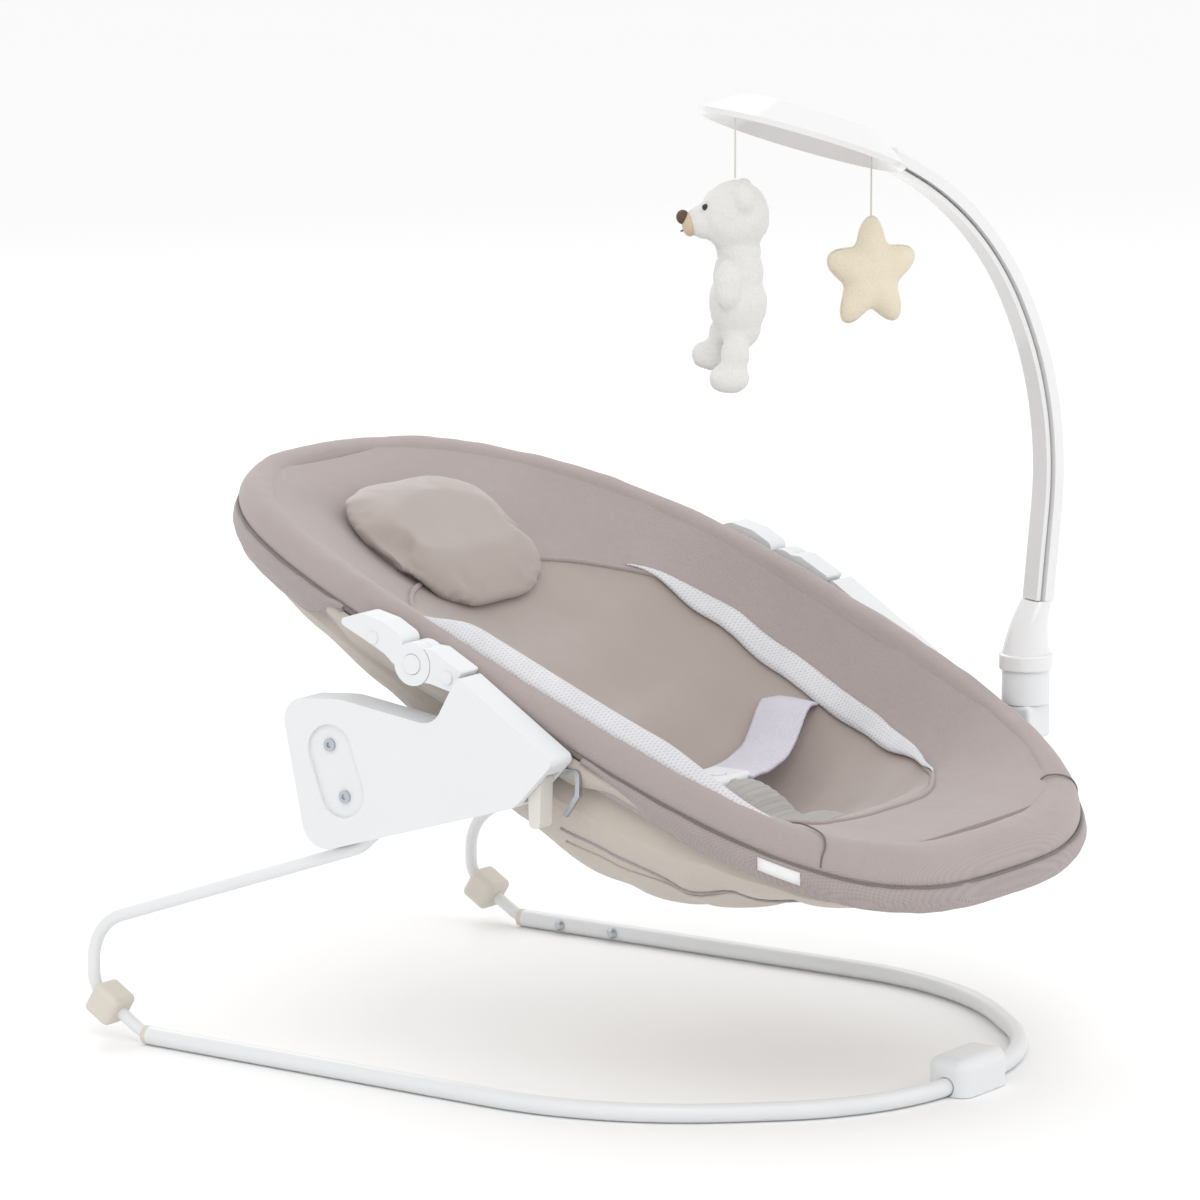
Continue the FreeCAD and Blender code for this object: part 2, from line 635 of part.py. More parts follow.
def hinge(side, sign):
    """Recline hinge: lower half on the seat tube, upper half on the backrest tube, pin, button, rivets."""
    outer, middle, inner = size("hinge_outer_x"), size("hinge_mid_x"), size("hinge_inner_x")
    py, pz = PIVOT
    lower = hinge_half(f"hinge_lower_{side}", sign,
                       [(16, 314), (5, 313.5), (-19.2, 301), (-11.2, 286.2), (6.4, 290), (16, 291)],
                       [2, 4, 1.5, 4, 4, 2], inner, middle - 0.15, middle - 0.15, outer + 1)
    upper = hinge_half(f"hinge_upper_{side}", sign,
                       [(30, 320), (47.2, 329), (66, 333), (88, 326), (62, 314.5), (46, 307), (34, 297)],
                       [6, 12, 8, 3, 12, 8, 4], middle + 0.15, outer, inner - 1, middle + 0.15)
    pin_bore = cylinder(f"hinge_bore_{side}", (sign * (inner - 1), py, pz), (sign, 0, 0),
                        "hinge_pin_radius + running_gap", 15)
    button_bore = cylinder(f"button_bore_{side}", (sign * (outer - 6), py, pz), (sign, 0, 0),
                           "button_radius + 0.3", 8)
    bores = {}
    for half, spot in (("lower", LOWER_RIVET), ("upper", UPPER_RIVET)):
        bores[half] = cylinder(f"rivet_bore_{half}_{side}", (sign * (inner - 1), *spot), (sign, 0, 0),
                               "rivet_radius", 22)
        shank = cylinder(f"rivet_shank_{half}_{side}", (sign * 196, *spot), (sign, 0, 0), "rivet_radius",
                         outer - 196)
        head = cylinder(f"rivet_head_{half}_{side}", (sign * outer, *spot), (sign, 0, 0), "wire_radius", 1.2)
        name = f"{half}_rivet_{side}"
        node(name, fuse(name, shank, head))
    lower_bores = fuse(f"lower_bores_{side}", pin_bore, bores["lower"])
    node(f"hinge_lower_{side}", cut(f"hinge_lower_{side}", lower, lower_bores))
    node(f"hinge_upper_{side}", cut(f"hinge_upper_{side}", upper,
                                    fuse(f"upper_bores_{side}", pin_bore, button_bore, bores["upper"])))
    pin = cylinder(f"hinge_pin_{side}", (sign * (inner + 1), py, pz), (sign, 0, 0), "hinge_pin_radius", 12)
    node(f"hinge_pin_{side}", pin)
    cap = cylinder(f"button_cap_{side}", (sign * (outer - 3), py, pz), (sign, 0, 0), "button_radius", 4)
    node(f"recline_button_{side}", round_edges(f"recline_button_{side}", cap, 0.6))


frame_tube("seat_tube", SEAT_POINTS)
frame_tube("backrest_tube", BACK_POINTS)
for side, sign in SIDES:
    hinge(side, sign)

# ---------------------------------------------------------------- fabric
SEAT_END_Y, BACK_START_Y = 12.0, 34.0   # the cover is one fabric; it bends between these two
SEAT_STATIONS = [SEAT_END_Y, -24.6, -70, -115, -160, -200, -235, -262, -283]
BACK_STATIONS = [BACK_START_Y, 90, 150, 200, 240, 268]
TOE_STATIONS, CROWN_STATIONS = [-283, -297, -309.5], [268, 284, 296.3]   # closed ends of the rim
SLING_STATIONS = [-24.6, -70, -115, -160, -200]


def channel(name, points):
    """The tunnel in a rim where the frame tube lies."""
    return rod(name, points, largest_bends(points), "frame_radius + 0.4")


def rivet_ways(name, spot):
    """Holes in the rim's wall where the rivets pass."""
    return [cylinder(f"{name}_{side}", (sign * 190, *spot), (sign, 0, 0), "rivet_radius + 0.4", 30)
            for side, sign in SIDES]


def seat_cover():
    """Seat half of the fabric cover: padded rim, hollow and closed foot end."""
    body = loft("seat_cover_hollow", [cover_section(y) for y in SEAT_STATIONS])
    toe = loft("seat_cover_toe", [cover_section(y, filled=True) for y in TOE_STATIONS])
    bolt_way = cylinder("seat_cover_bolt_way", (BAR_X - 5, BAR_Y, BOLT_Z), (-1, 0, 0), "wire_radius", 40)
    tools = fuse("seat_cover_tools", channel("seat_channel", SEAT_POINTS), bolt_way,
                 *rivet_ways("seat_rivet_way", LOWER_RIVET))
    return node("seat_cover", cut("seat_cover", fuse("seat_cover_solid", body, toe), tools))


def backrest_cover():
    """Backrest half of the fabric cover, closed at the head end."""
    body = loft("backrest_cover_hollow", [cover_section(y) for y in BACK_STATIONS])
    top = loft("backrest_cover_top", [cover_section(y, filled=True) for y in CROWN_STATIONS])
    tools = fuse("backrest_cover_tools", channel("backrest_channel", BACK_POINTS),
                 *rivet_ways("backrest_rivet_way", UPPER_RIVET))
    return node("backrest_cover", cut("backrest_cover", fuse("backrest_cover_solid", body, top), tools))


def liner_top(y):
    """Height of the liner's upper face in the middle plane."""
    return rim_height(y) - hollow_depth(y) + LINER_IN


def strap(name, corners, thickness, lift):
    """A flat strap or pad: plan corners on a slope, given a thickness."""
    pts = [V(x, y, z + lift) for x, y, z in corners]
    face = Part.Face(closed_polygon(pts))
    body = doc.addObject("Part::Feature", name)
    body.Shape = face.extrude(V(0, 0, thickness))
    return node(name, body)


seat_cover()
backrest_cover()
sling_sections = [layer_section(y, SLING_OUT, SLING_IN) for y in SLING_STATIONS]
node("underseat_sling", loft("underseat_sling", sling_sections))
node("seat_liner", loft("seat_liner", [layer_section(y, LINER_OUT, LINER_IN, rim_inside(y) - 2)
                                 for y in SLING_STATIONS]))

PAD_LOW_Y, PAD_HIGH_Y, BUCKLE_Y = -168.0, -84.0, -66.0
BUCKLE_Z = liner_top(BUCKLE_Y) + 30
pad_low_z, pad_high_z = liner_top(-160) + 12, BUCKLE_Z - 2
strap("crotch_pad", [(-30, PAD_LOW_Y, pad_low_z), (30, PAD_LOW_Y, pad_low_z),
                     (37, PAD_HIGH_Y, pad_high_z), (-37, PAD_HIGH_Y, pad_high_z)], 8, 0)
for side, sign in SIDES:
    strap(f"waist_strap_{side}", [(sign * 26, BUCKLE_Y - 16, BUCKLE_Z), (sign * 26, BUCKLE_Y + 16, BUCKLE_Z),
                                  (sign * 142, BUCKLE_Y + 48, BUCKLE_Z + 22),
                                  (sign * 142, BUCKLE_Y + 8, BUCKLE_Z + 22)],
          3, 2)
housing = block("buckle_block", (-25, BUCKLE_Y - 17, BUCKLE_Z - 3), (25, BUCKLE_Y + 17, BUCKLE_Z + 10))
buckle_well = cylinder("buckle_well", (0, BUCKLE_Y, BUCKLE_Z + 2), (0, 0, 1), "button_radius + 2.3", 20)
node("buckle_housing", cut("buckle_housing", round_edges("buckle_rounded", housing, 4), buckle_well))
button = cylinder("buckle_button_cap", (0, BUCKLE_Y, BUCKLE_Z + 5.5), (0, 0, 1), "button_radius + 2", 6)
node("buckle_button", round_edges("buckle_button", button, 0.8))

HEAD_REST = (185.0, 150.0, 120.0, 20.0)   # middle Y, width, length, thickness
rest_y, rest_w, rest_l, rest_t = HEAD_REST
rest = block("head_cushion_block", (0, 0, 0), (rest_w, rest_l, rest_t))
rest_turn = FreeCAD.Rotation(V(1, 0, 0), 27)
rest_base = V(0, rest_y, rim_height(rest_y) - hollow_depth(rest_y) + COVER_IN + 5)
rest.Placement = FreeCAD.Placement(rest_base + rest_turn.multVec(V(-rest_w / 2, -rest_l / 2, 0)), rest_turn)
node("head_cushion", round_edges("head_cushion", rest, 8))

# ---------------------------------------------------------------- toy bar
BAR_TO_RING = V(-0.925, 0.38, 0).normalize()   # plan direction from the swivel axis to the ring
ACROSS = V(BAR_TO_RING.y * -1, BAR_TO_RING.x, 0) * -1


def on_bar(reach, height, aside=0):
    """A point in the toy bar's upright plane, or beside it."""
    p = V(BAR_X, BAR_Y, height) + BAR_TO_RING * reach + ACROSS * aside
    return (p.x, p.y, p.z)


def toy_bar_mount():
    """Bracket bolted through the rim into the seat tube, and the socket that stands on it."""
    bracket = block("toy_bar_bracket_block", (BAR_X - 16.5, BAR_Y - 13, 200), (BAR_X + 14, BAR_Y + 13, 226))
    bolt = cylinder("toy_bar_bolt_shank", (BAR_X + 14, BAR_Y, BOLT_Z), (-1, 0, 0), "bolt_radius", 50)
    head = cylinder("toy_bar_bolt_head", (BAR_X + 14, BAR_Y, BOLT_Z), (1, 0, 0), "wire_radius", 2)
    bolt_bore = cylinder("toy_bar_bolt_bore", (BAR_X + 16, BAR_Y, BOLT_Z), (-1, 0, 0), "bolt_radius", 60)
    rounded_bracket = round_edges("toy_bar_bracket_round", bracket, 3)
    node("toy_bar_bracket", cut("toy_bar_bracket", rounded_bracket, bolt_bore))
    node("toy_bar_bolt", fuse("toy_bar_bolt", bolt, head))
    cup = cylinder("socket_cup", (BAR_X, BAR_Y, 226), (0, 0, 1), "socket_radius", 24)
    bore = cylinder("socket_bore", (BAR_X, BAR_Y, 229), (0, 0, 1), "spigot_radius + running_gap", 30)
    node("toy_bar_socket", cut("toy_bar_socket", cup, bore))


def toy_bar_foot():
    """Collar with its spigot, and the flared adapter that turns into the arch."""
    spigot = cylinder("collar_spigot", (BAR_X, BAR_Y, 230), (0, 0, 1), "spigot_radius", 22)
    collar = cylinder("collar_ring", (BAR_X, BAR_Y, 250.3), (0, 0, 1), "collar_radius", 11.7)
    node("toy_bar_collar", fuse("toy_bar_collar", spigot, round_edges("collar_round", collar, 1.5)))
    low = Part.Wire([Part.Circle(V(BAR_X, BAR_Y, 262), V(0, 0, 1), 17.5).toShape()])
    waist = V(*on_bar(-3, 284))
    middle = Part.Wire([Part.Ellipse(waist + ACROSS * 15, waist + BAR_TO_RING * 12.5,
                                     V(*on_bar(-3, 284))).toShape()])
    high = Part.Wire([Part.Ellipse(V(*on_bar(-9, 300)) + ACROSS * 13, V(*on_bar(-9, 300)) + BAR_TO_RING * 9.5,
                                   V(*on_bar(-9, 300))).toShape()])
    adapter = doc.addObject("Part::Feature", "toy_bar_adapter")
    adapter.Shape = Part.makeLoft([low, middle, high], True, False)
    node("toy_bar_adapter", adapter)


def bar_strip(name, half_width, near, far):
    """A strip of the arch: a flat oval section between two depths, swept along the arch."""
    points = [on_bar(-9, 300), on_bar(-23, 440), on_bar(40, 580), on_bar(126, 627)]
    path = spine(name + "_path", points, [280, 220])
    along = (V(*points[1]) - V(*points[0])).normalize()
    inward = (BAR_TO_RING - along * BAR_TO_RING.dot(along)).normalize()
    start = V(*points[0])
    corners = [start + ACROSS * a + inward * i for a, i in
               ((-half_width, near + 2), (-half_width + 4, near),
                (half_width - 4, near), (half_width, near + 2),
                (half_width, far), (-half_width, far))]
    section = doc.addObject("Part::Feature", name + "_section")
    section.Shape = closed_polygon(corners)
    return sweep(name + "_sweep", path, section)


def toy_ring():
    """Sloped circular band that the toys hang from, tilted up towards its tip."""
    outer, inner, rise = size("ring_outer"), size("ring_inner"), size("ring_height")
    low, high, thick = V(outer, 0, -rise / 2), V(inner, 0, rise / 2), 4.5
    slope = (high - low).normalize()
    out = V(-slope.z, 0, slope.x) * -thick / 2
    profile = closed_polygon([low + out, high + out, high - out, low - out])
    section = doc.addObject("Part::Feature", "toy_ring_section")
    section.Shape = Part.Face(profile)
    ring = doc.addObject("Part::Revolution", "toy_ring_band")
    ring.Source, ring.Axis, ring.Base, ring.Angle, ring.Solid = section, V(0, 0, 1), V(0, 0, 0), 360, True
    turn = FreeCAD.Rotation(ACROSS, size("ring_tilt"))
    ring.Placement = FreeCAD.Placement(V(*on_bar(size("ring_reach"), size("ring_centre_z"))), turn)
    return node("toy_ring", ring)


def toys():
    """Bear and star on their strings, as plain solids with the toys' real sizes."""
    bear_hang, star_hang = V(-26, -100, 0), V(94.5, -133.5, 0)
    strings = (("bear_string", bear_hang, 664.0, 623.0), ("star_string", star_hang, 629.0, 586.3))
    for name, hang, top, end in strings:
        node(name, cylinder(name, (hang.x, hang.y, end), (0, 0, 1), "string_radius", top - end))
    face = V(-0.575, 0.818, 0)
    lumps = [((0, 0, 597), (21, 23, 26)), ((24, 0, 590), (15, 17, 17)), ((2, 0, 549), (19, 22, 33)),
             ((2, -10, 506), (13, 12, 20)), ((8, 12, 487), (14, 12, 14)), ((2, 10, 508), (11, 11, 22)),
             ((4, -19, 553), (9, 8, 18)), ((4, 19, 553), (9, 8, 18))]
    parts = []
    for k, ((ahead, beside, z), (ra, rb, rz)) in enumerate(lumps):
        lump = doc.addObject("Part::Ellipsoid", f"bear_lump_{k}")
        lump.Radius1, lump.Radius2, lump.Radius3 = rz, ra, rb
        spot = bear_hang + face * ahead + V(-face.y, face.x, 0) * beside + V(0, 0, z)
        lump.Placement = FreeCAD.Placement(spot, FreeCAD.Rotation(V(1, 0, 0), face))
        parts.append(lump)
    node("bear", fuse("bear", *parts))
    view = V(-0.78, -0.62, 0).normalize()
    wide = V(view.y, -view.x, 0)
    corners = []
    for k in range(10):
        radius = 41.5 if k % 2 == 0 else 25.0
        angle = pi / 2 + k * pi / 5
        height = V(0, 0, 545 + radius * sin(angle))
        corners.append(star_hang + wide * (radius * cos(angle) * 0.86) + height + view * -11)
    star = doc.addObject("Part::Feature", "star_solid")
    star.Shape = Part.Face(closed_polygon(corners)).extrude(view * 22)
    node("star", star)


toy_bar_mount()
toy_bar_foot()
ring = toy_ring()
arch = bar_strip("toy_bar_arch", 11.5, -8.5, 1.0)
channel_strip = bar_strip("toy_bar_channel", 8.5, 1.0, 6.5)
bar_ends = fuse("toy_bar_ends", ring, NODES["toy_bar_adapter"])
node("toy_bar_arch", cut("toy_bar_arch", arch, bar_ends))
node("toy_bar_channel", cut("toy_bar_channel", channel_strip, bar_ends))
toys()

# ---------------------------------------------------------------- check and write
doc.recompute()
for obj in doc.Objects:
    if {"Invalid", "Error"} & set(obj.State):
        raise RuntimeError(f"{obj.Name} failed: {obj.State}")
for label, obj in NODES.items():
    shape = obj.Shape
    if shape.isNull() or not shape.isValid() or not shape.Solids:
        raise RuntimeError(f"{label} has no valid solid")
    print(f"{label:24s} solids {len(shape.Solids)} volume {shape.Volume / 1000:9.2f} cm3")
box = FreeCAD.BoundBox()
for label, obj in NODES.items():
    box.add(obj.Shape.BoundBox)
    obj.Shape.exportStep(f"parts/{label}.step")
print(len(NODES), "nodes, X", box.XMin, box.XMax, "Y", box.YMin, box.YMax, "Z", box.ZMin, box.ZMax)
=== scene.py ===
import bmesh
import bpy
from math import cos, pi, sin
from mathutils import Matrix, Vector, noise


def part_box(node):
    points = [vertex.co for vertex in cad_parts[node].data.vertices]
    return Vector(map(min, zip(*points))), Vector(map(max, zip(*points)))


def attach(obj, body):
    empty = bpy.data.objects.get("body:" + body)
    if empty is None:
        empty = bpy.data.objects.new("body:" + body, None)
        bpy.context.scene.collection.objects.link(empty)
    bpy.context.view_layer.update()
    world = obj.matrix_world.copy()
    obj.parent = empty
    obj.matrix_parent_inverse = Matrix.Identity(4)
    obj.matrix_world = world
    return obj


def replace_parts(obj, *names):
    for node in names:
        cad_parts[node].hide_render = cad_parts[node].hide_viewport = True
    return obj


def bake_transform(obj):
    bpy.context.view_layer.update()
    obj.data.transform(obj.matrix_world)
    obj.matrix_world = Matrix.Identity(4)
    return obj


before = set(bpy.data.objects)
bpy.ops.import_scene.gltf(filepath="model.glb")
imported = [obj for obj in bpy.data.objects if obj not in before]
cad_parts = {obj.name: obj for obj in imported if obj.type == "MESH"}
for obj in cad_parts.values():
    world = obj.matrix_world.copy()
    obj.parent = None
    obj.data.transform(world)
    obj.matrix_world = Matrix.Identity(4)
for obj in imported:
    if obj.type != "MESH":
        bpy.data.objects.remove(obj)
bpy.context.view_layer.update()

# ---------------------------------------------------------------- driving sizes, metres
SIDES = (("left", -1), ("right", 1))
RIM_HALF = 0.214        # half width of the seat at its widest
RIM_MID = -0.0246       # where along Y it is widest
HEAD_END, FOOT_END = 0.2975, -0.3103
HEAD_POWER, FOOT_POWER = 2.39, 3.03
TUBE_RADIUS = 0.0094    # bent tubes inside the rim
LINING_INSET = 0.022    # where the lining meets the padded rim
LINING_RISE = 0.017     # height of the lining there, above the seam
SLING_INSET = 0.008     # top edge of the sling
HOLLOW_INSET = 0.006    # widest line of the sling
TUBE_INSET = 0.013      # bent tubes, from the seam
# smooth panel of the lining: half width, middle along Y, half length, squareness
PANEL_HALF, PANEL_MID, PANEL_LONG, PANEL_POWER = 0.154, -0.03, 0.18, 2.6
SEAM_RADIUS = 0.0016    # piping round the rim
STRING_SIDES = 6        # sides of a thread or stitch
# depth of the hollow below the rim seam, as (Y, depth)
DEPTHS = ((-0.310, 0.016), (-0.285, 0.026), (-0.240, 0.046), (-0.196, 0.066), (-0.160, 0.096),
          (-0.115, 0.118), (-0.070, 0.128), (-0.020, 0.120), (0.026, 0.098), (0.090, 0.078),
          (0.150, 0.064), (0.220, 0.050), (0.270, 0.036), (0.297, 0.018))


def rim_height(y):
    """Height of the rim seam at y."""
    u = (y - RIM_MID) / 0.3
    return 0.2801 + 0.1212 * u - 0.0160 * u * u - 0.0092 * u ** 3


def hollow_depth(y):
    """Depth of the hollow below the rim seam at y."""
    for (y0, d0), (y1, d1) in zip(DEPTHS, DEPTHS[1:]):
        if y0 <= y <= y1:
            t = (y - y0) / (y1 - y0)
            t = t * t * (3 - 2 * t)
            return d0 + (d1 - d0) * t
    return DEPTHS[0][1] if y < DEPTHS[0][0] else DEPTHS[-1][1]


# ---------------------------------------------------------------- materials
class Shader:
    """A procedural material: one Principled shader with noise and weave mixed into it."""

    def __init__(self, name, colour, rough, **fixed):
        self.material = bpy.data.materials.new(name)
        self.material.use_nodes = True
        self.tree = self.material.node_tree
        self.bsdf = self.tree.nodes["Principled BSDF"]
        self.colour = (*colour, 1)
        self.bsdf.inputs["Base Color"].default_value = self.colour
        self.bsdf.inputs["Roughness"].default_value = rough
        for key, value in fixed.items():
            self.bsdf.inputs[key].default_value = value
        self.place = self.make("ShaderNodeTexCoord").outputs["Object"]

    def make(self, kind, **values):
        made = self.tree.nodes.new(kind)
        for key, value in values.items():
            if key in made.inputs:
                made.inputs[key].default_value = value
            else:
                setattr(made, key, value)
        return made

    def link(self, a, b):
        self.tree.links.new(a, b)

    def noise(self, scale, detail=3.0):
        made = self.make("ShaderNodeTexNoise", Scale=scale, Detail=detail)
        self.link(self.place, made.inputs["Vector"])
        return made.outputs["Fac"]

    def wave(self, scale, direction, distortion=0.0):
        made = self.make("ShaderNodeTexWave", Scale=scale, Distortion=distortion, Detail=1.0,
                         bands_direction=direction)
        self.link(self.place, made.inputs["Vector"])
        return made.outputs["Fac"]

    def maths(self, operation, a, b):
        made = self.make("ShaderNodeMath", operation=operation)
        for socket, value in zip(made.inputs, (a, b)):
            if isinstance(value, (int, float)):
                socket.default_value = value
            else:
                self.link(value, socket)
        return made.outputs[0]

    def vary_colour(self, factor, other):
        """Mix the base colour with another by a factor from 0 to 1."""
        made = self.make("ShaderNodeMix", data_type="RGBA")
        made.inputs[6].default_value = self.colour
        made.inputs[7].default_value = (*other, 1)
        self.link(factor, made.inputs[0])
        source = made.outputs[2]
        self.link(source, self.bsdf.inputs["Base Color"])

    def vary_roughness(self, factor, low, high):
        made = self.make("ShaderNodeMapRange")
        made.inputs["To Min"].default_value = low
        made.inputs["To Max"].default_value = high
        self.link(factor, made.inputs["Value"])
        self.link(made.outputs["Result"], self.bsdf.inputs["Roughness"])

    def bump(self, height, distance, strength=0.6):
        made = self.make("ShaderNodeBump", Strength=strength, Distance=distance)
        self.link(height, made.inputs["Height"])
        self.link(made.outputs["Normal"], self.bsdf.inputs["Normal"])


def woven(name, colour, dark, threads, depth, rough=0.85, sheen=0.25, slubs=0.35):
    """Plain or ribbed weave: two crossing waves, slubs in the yarn and large soft shade changes."""
    s = Shader(name, colour, rough, **{"Sheen Weight": sheen, "Sheen Roughness": 0.5})
    warp = s.wave(threads, "DIAGONAL", 0.6)
    weft = s.wave(threads * 0.83, "Y", 0.6)
    yarn = s.maths("MULTIPLY", warp, weft)
    slub = s.noise(threads * 0.55, 2.0)
    cloth = s.maths("ADD", s.maths("MULTIPLY", yarn, 1 - slubs), s.maths("MULTIPLY", slub, slubs))
    shade = s.maths("MULTIPLY", s.maths("ADD", cloth, s.noise(14.0)), 0.5)
    s.vary_colour(shade, dark)
    s.vary_roughness(cloth, rough - 0.1, min(rough + 0.1, 1.0))
    s.bump(cloth, depth)
    return s.material


def plastic(name, colour, rough, grain=900.0, depth=0.00006, coat=0.0):
    """Moulded plastic: fine spark-eroded grain, faint flow marks and handling wear."""
    s = Shader(name, colour, rough, **{"Coat Weight": coat})
    fine = s.noise(grain, 2.0)
    flow = s.noise(9.0, 4.0)
    s.vary_colour(s.maths("MULTIPLY", flow, 0.35), tuple(c * 0.9 for c in colour))
    s.vary_roughness(flow, rough * 0.8, rough * 1.25)
    s.bump(fine, depth, 0.35)
    return s.material


def metal(name, colour, rough, metallic, peel=260.0):
    """Painted or plated metal with a light orange peel and rubbed patches."""
    s = Shader(name, colour, rough, Metallic=metallic)
    worn = s.noise(30.0, 5.0)
    s.vary_colour(s.maths("MULTIPLY", worn, 0.3), tuple(c * 0.86 for c in colour))
    s.vary_roughness(worn, rough * 0.8, rough * 1.3)
    s.bump(s.noise(peel, 1.0), 0.00005, 0.3)
    return s.material


def plush(name, colour, dark):
    """Short pile: dense small tufts over soft lumps."""
    s = Shader(name, colour, 0.95, **{"Sheen Weight": 0.5, "Sheen Roughness": 0.4})
    tufts = s.noise(700.0, 4.0)
    lumps = s.noise(60.0, 2.0)
    pile = s.maths("ADD", s.maths("MULTIPLY", tufts, 0.7), s.maths("MULTIPLY", lumps, 0.3))
    s.vary_colour(s.maths("MULTIPLY", pile, 0.7), dark)
    s.bump(pile, 0.0012, 0.8)
    return s.material


M = {
    "cover": woven("taupe_weave", (0.42, 0.355, 0.345), (0.31, 0.258, 0.25), 330, 0.0005),
    "band": woven("taupe_rib", (0.40, 0.34, 0.335), (0.27, 0.226, 0.222), 210, 0.0008),
    "sling": woven("beige_weave", (0.55, 0.495, 0.44), (0.44, 0.39, 0.34), 420, 0.0003),
    "liner": woven("beige_satin", (0.40, 0.335, 0.305), (0.32, 0.265, 0.24), 600, 0.00015, 0.5, 0.4, 0.2),
    "mesh": woven("white_mesh", (0.80, 0.80, 0.82), (0.42, 0.42, 0.45), 150, 0.0010, 0.8, 0.1),
    "pad": woven("grey_rib", (0.42, 0.40, 0.385), (0.28, 0.265, 0.255), 180, 0.0008),
    "webbing": woven("lilac_webbing", (0.70, 0.68, 0.75), (0.42, 0.40, 0.47), 190, 0.0009, 0.7),
    "piping": woven("seam_piping", (0.20, 0.165, 0.16), (0.12, 0.10, 0.096), 500, 0.0003),
    "tag": woven("blank_tag", (0.82, 0.82, 0.82), (0.70, 0.70, 0.70), 500, 0.0002, 0.6),
    "string": woven("twisted_string", (0.72, 0.69, 0.62), (0.50, 0.47, 0.41), 900, 0.0003),
    "metal": metal("white_powder_coat", (0.76, 0.77, 0.78), 0.30, 0.0),
    "steel": metal("plated_steel", (0.50, 0.53, 0.57), 0.32, 1.0),
    "plastic": plastic("white_moulded", (0.75, 0.765, 0.78), 0.38),
    "gloss": plastic("white_gloss", (0.77, 0.77, 0.77), 0.16, coat=0.5),
    "tab": plastic("ivory_moulded", (0.68, 0.66, 0.61), 0.50),
    "rubber": plastic("ivory_rubber", (0.66, 0.62, 0.55), 0.75, 400.0, 0.0002),
    "white_plush": plush("white_plush", (0.76, 0.755, 0.735), (0.56, 0.55, 0.53)),
    "cream_plush": plush("cream_plush", (0.80, 0.73, 0.58), (0.60, 0.53, 0.40)),
    "snout": plush("beige_plush", (0.62, 0.50, 0.36), (0.45, 0.35, 0.24)),
    "dark": plastic("dark_bead", (0.020, 0.016, 0.014), 0.15),
    "brown": plastic("brown_thread", (0.10, 0.055, 0.03), 0.6, 500.0, 0.0003),
}
CAD_MATERIALS = {
    "metal": ("base_tube", "spring_wire", "seat_tube", "backrest_tube", "cross_bar", "upper_rivet",
              "lower_rivet"),
    "plastic": ("arm_", "hinge_", "recline_button", "front_foot", "toy_bar_bracket", "toy_bar_socket",
                "buckle_"),
    "gloss": ("toy_bar_collar", "toy_bar_adapter", "toy_ring", "toy_bar_arch", "toy_bar_channel"),
    "steel": ("base_screws", "arm_screws", "wire_clamp", "latch_plate", "hinge_pin", "toy_bar_bolt"),
    "tab": ("latch_tab",),
    "rubber": ("rear_bumper", "tube_plug"),
    "cover": ("seat_cover", "backrest_cover"),
    "sling": ("underseat_sling",),
    "liner": ("seat_liner", "head_cushion"),
    "pad": ("crotch_pad",),
    "webbing": ("waist_strap",),
    "string": ("bear_string", "star_string"),
    "white_plush": ("bear",),
    "cream_plush": ("star",),
}


def dress_cad_nodes():
    """Give every CAD node its detailed material; a longer name wins over a shorter one."""
    known = sorted(((start, key) for key, starts in CAD_MATERIALS.items() for start in starts),
                   key=lambda pair: -len(pair[0]))
    for name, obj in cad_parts.items():
        key = next(key for start, key in known if name.startswith(start))
        for material_slot in obj.material_slots:
            material_slot.material = M[key]


# ---------------------------------------------------------------- mesh helpers
def smooth_step(t):
    t = max(0, min(1, t))
    return t * t * (3 - 2 * t)


def pucker(point, size, scale):
    """Small cloth unevenness, the same each run."""
    return size * noise.noise(point * scale)


def signed_power(value, power):
    """Power of a value's size, with the value's sign."""
    return abs(value) ** power * (1 if value >= 0 else -1)


def piece(name, mesh, slot, *keys):
    """Put a finished mesh into the scene with its materials; the slot argument is not used."""
    obj = bpy.data.objects.new(name, mesh)
    bpy.context.scene.collection.objects.link(obj)
    for key in keys:
        mesh.materials.append(M[key])
    for face in mesh.polygons:
        face.use_smooth = True
    return obj


def tidy_mesh(mesh):
    """Close open ends and turn every face outwards."""
    bm = bmesh.new()
    bm.from_mesh(mesh)
    bmesh.ops.remove_doubles(bm, verts=bm.verts, dist=0.00001)
    bmesh.ops.holes_fill(bm, edges=bm.edges, sides=0)
    bmesh.ops.recalc_face_normals(bm, faces=bm.faces)
    bm.to_mesh(mesh)
    bm.free()
    return mesh


def loft(name, rows, closed=False):
    """Skin over rows of points, each row a closed section; closed joins the last row to the first."""
    count = len(rows[0])
    faces = []
    for i in range(len(rows) if closed else len(rows) - 1):
        j = (i + 1) % len(rows)
        for k in range(count):
            n = (k + 1) % count
            faces.append((i * count + k, i * count + n, j * count + n, j * count + k))
    mesh = bpy.data.meshes.new(name)
    mesh.from_pydata([tuple(point) for row in rows for point in row], [], faces)
    return tidy_mesh(mesh)


def curve_through(points, steps):
    """Points of a smooth curve through the given ones, open at both ends."""
    pts = [points[0], *points, points[-1]]
    made = []
    for a, b, c, d in zip(pts, pts[1:], pts[2:], pts[3:]):
        for k in range(steps):
            t = k / steps
            made.append(0.5 * (2 * b + (c - a) * t + (2 * a - 5 * b + 4 * c - d) * t * t
                               + (3 * b - a - 3 * c + d) * t ** 3))
    return [*made, points[-1]]


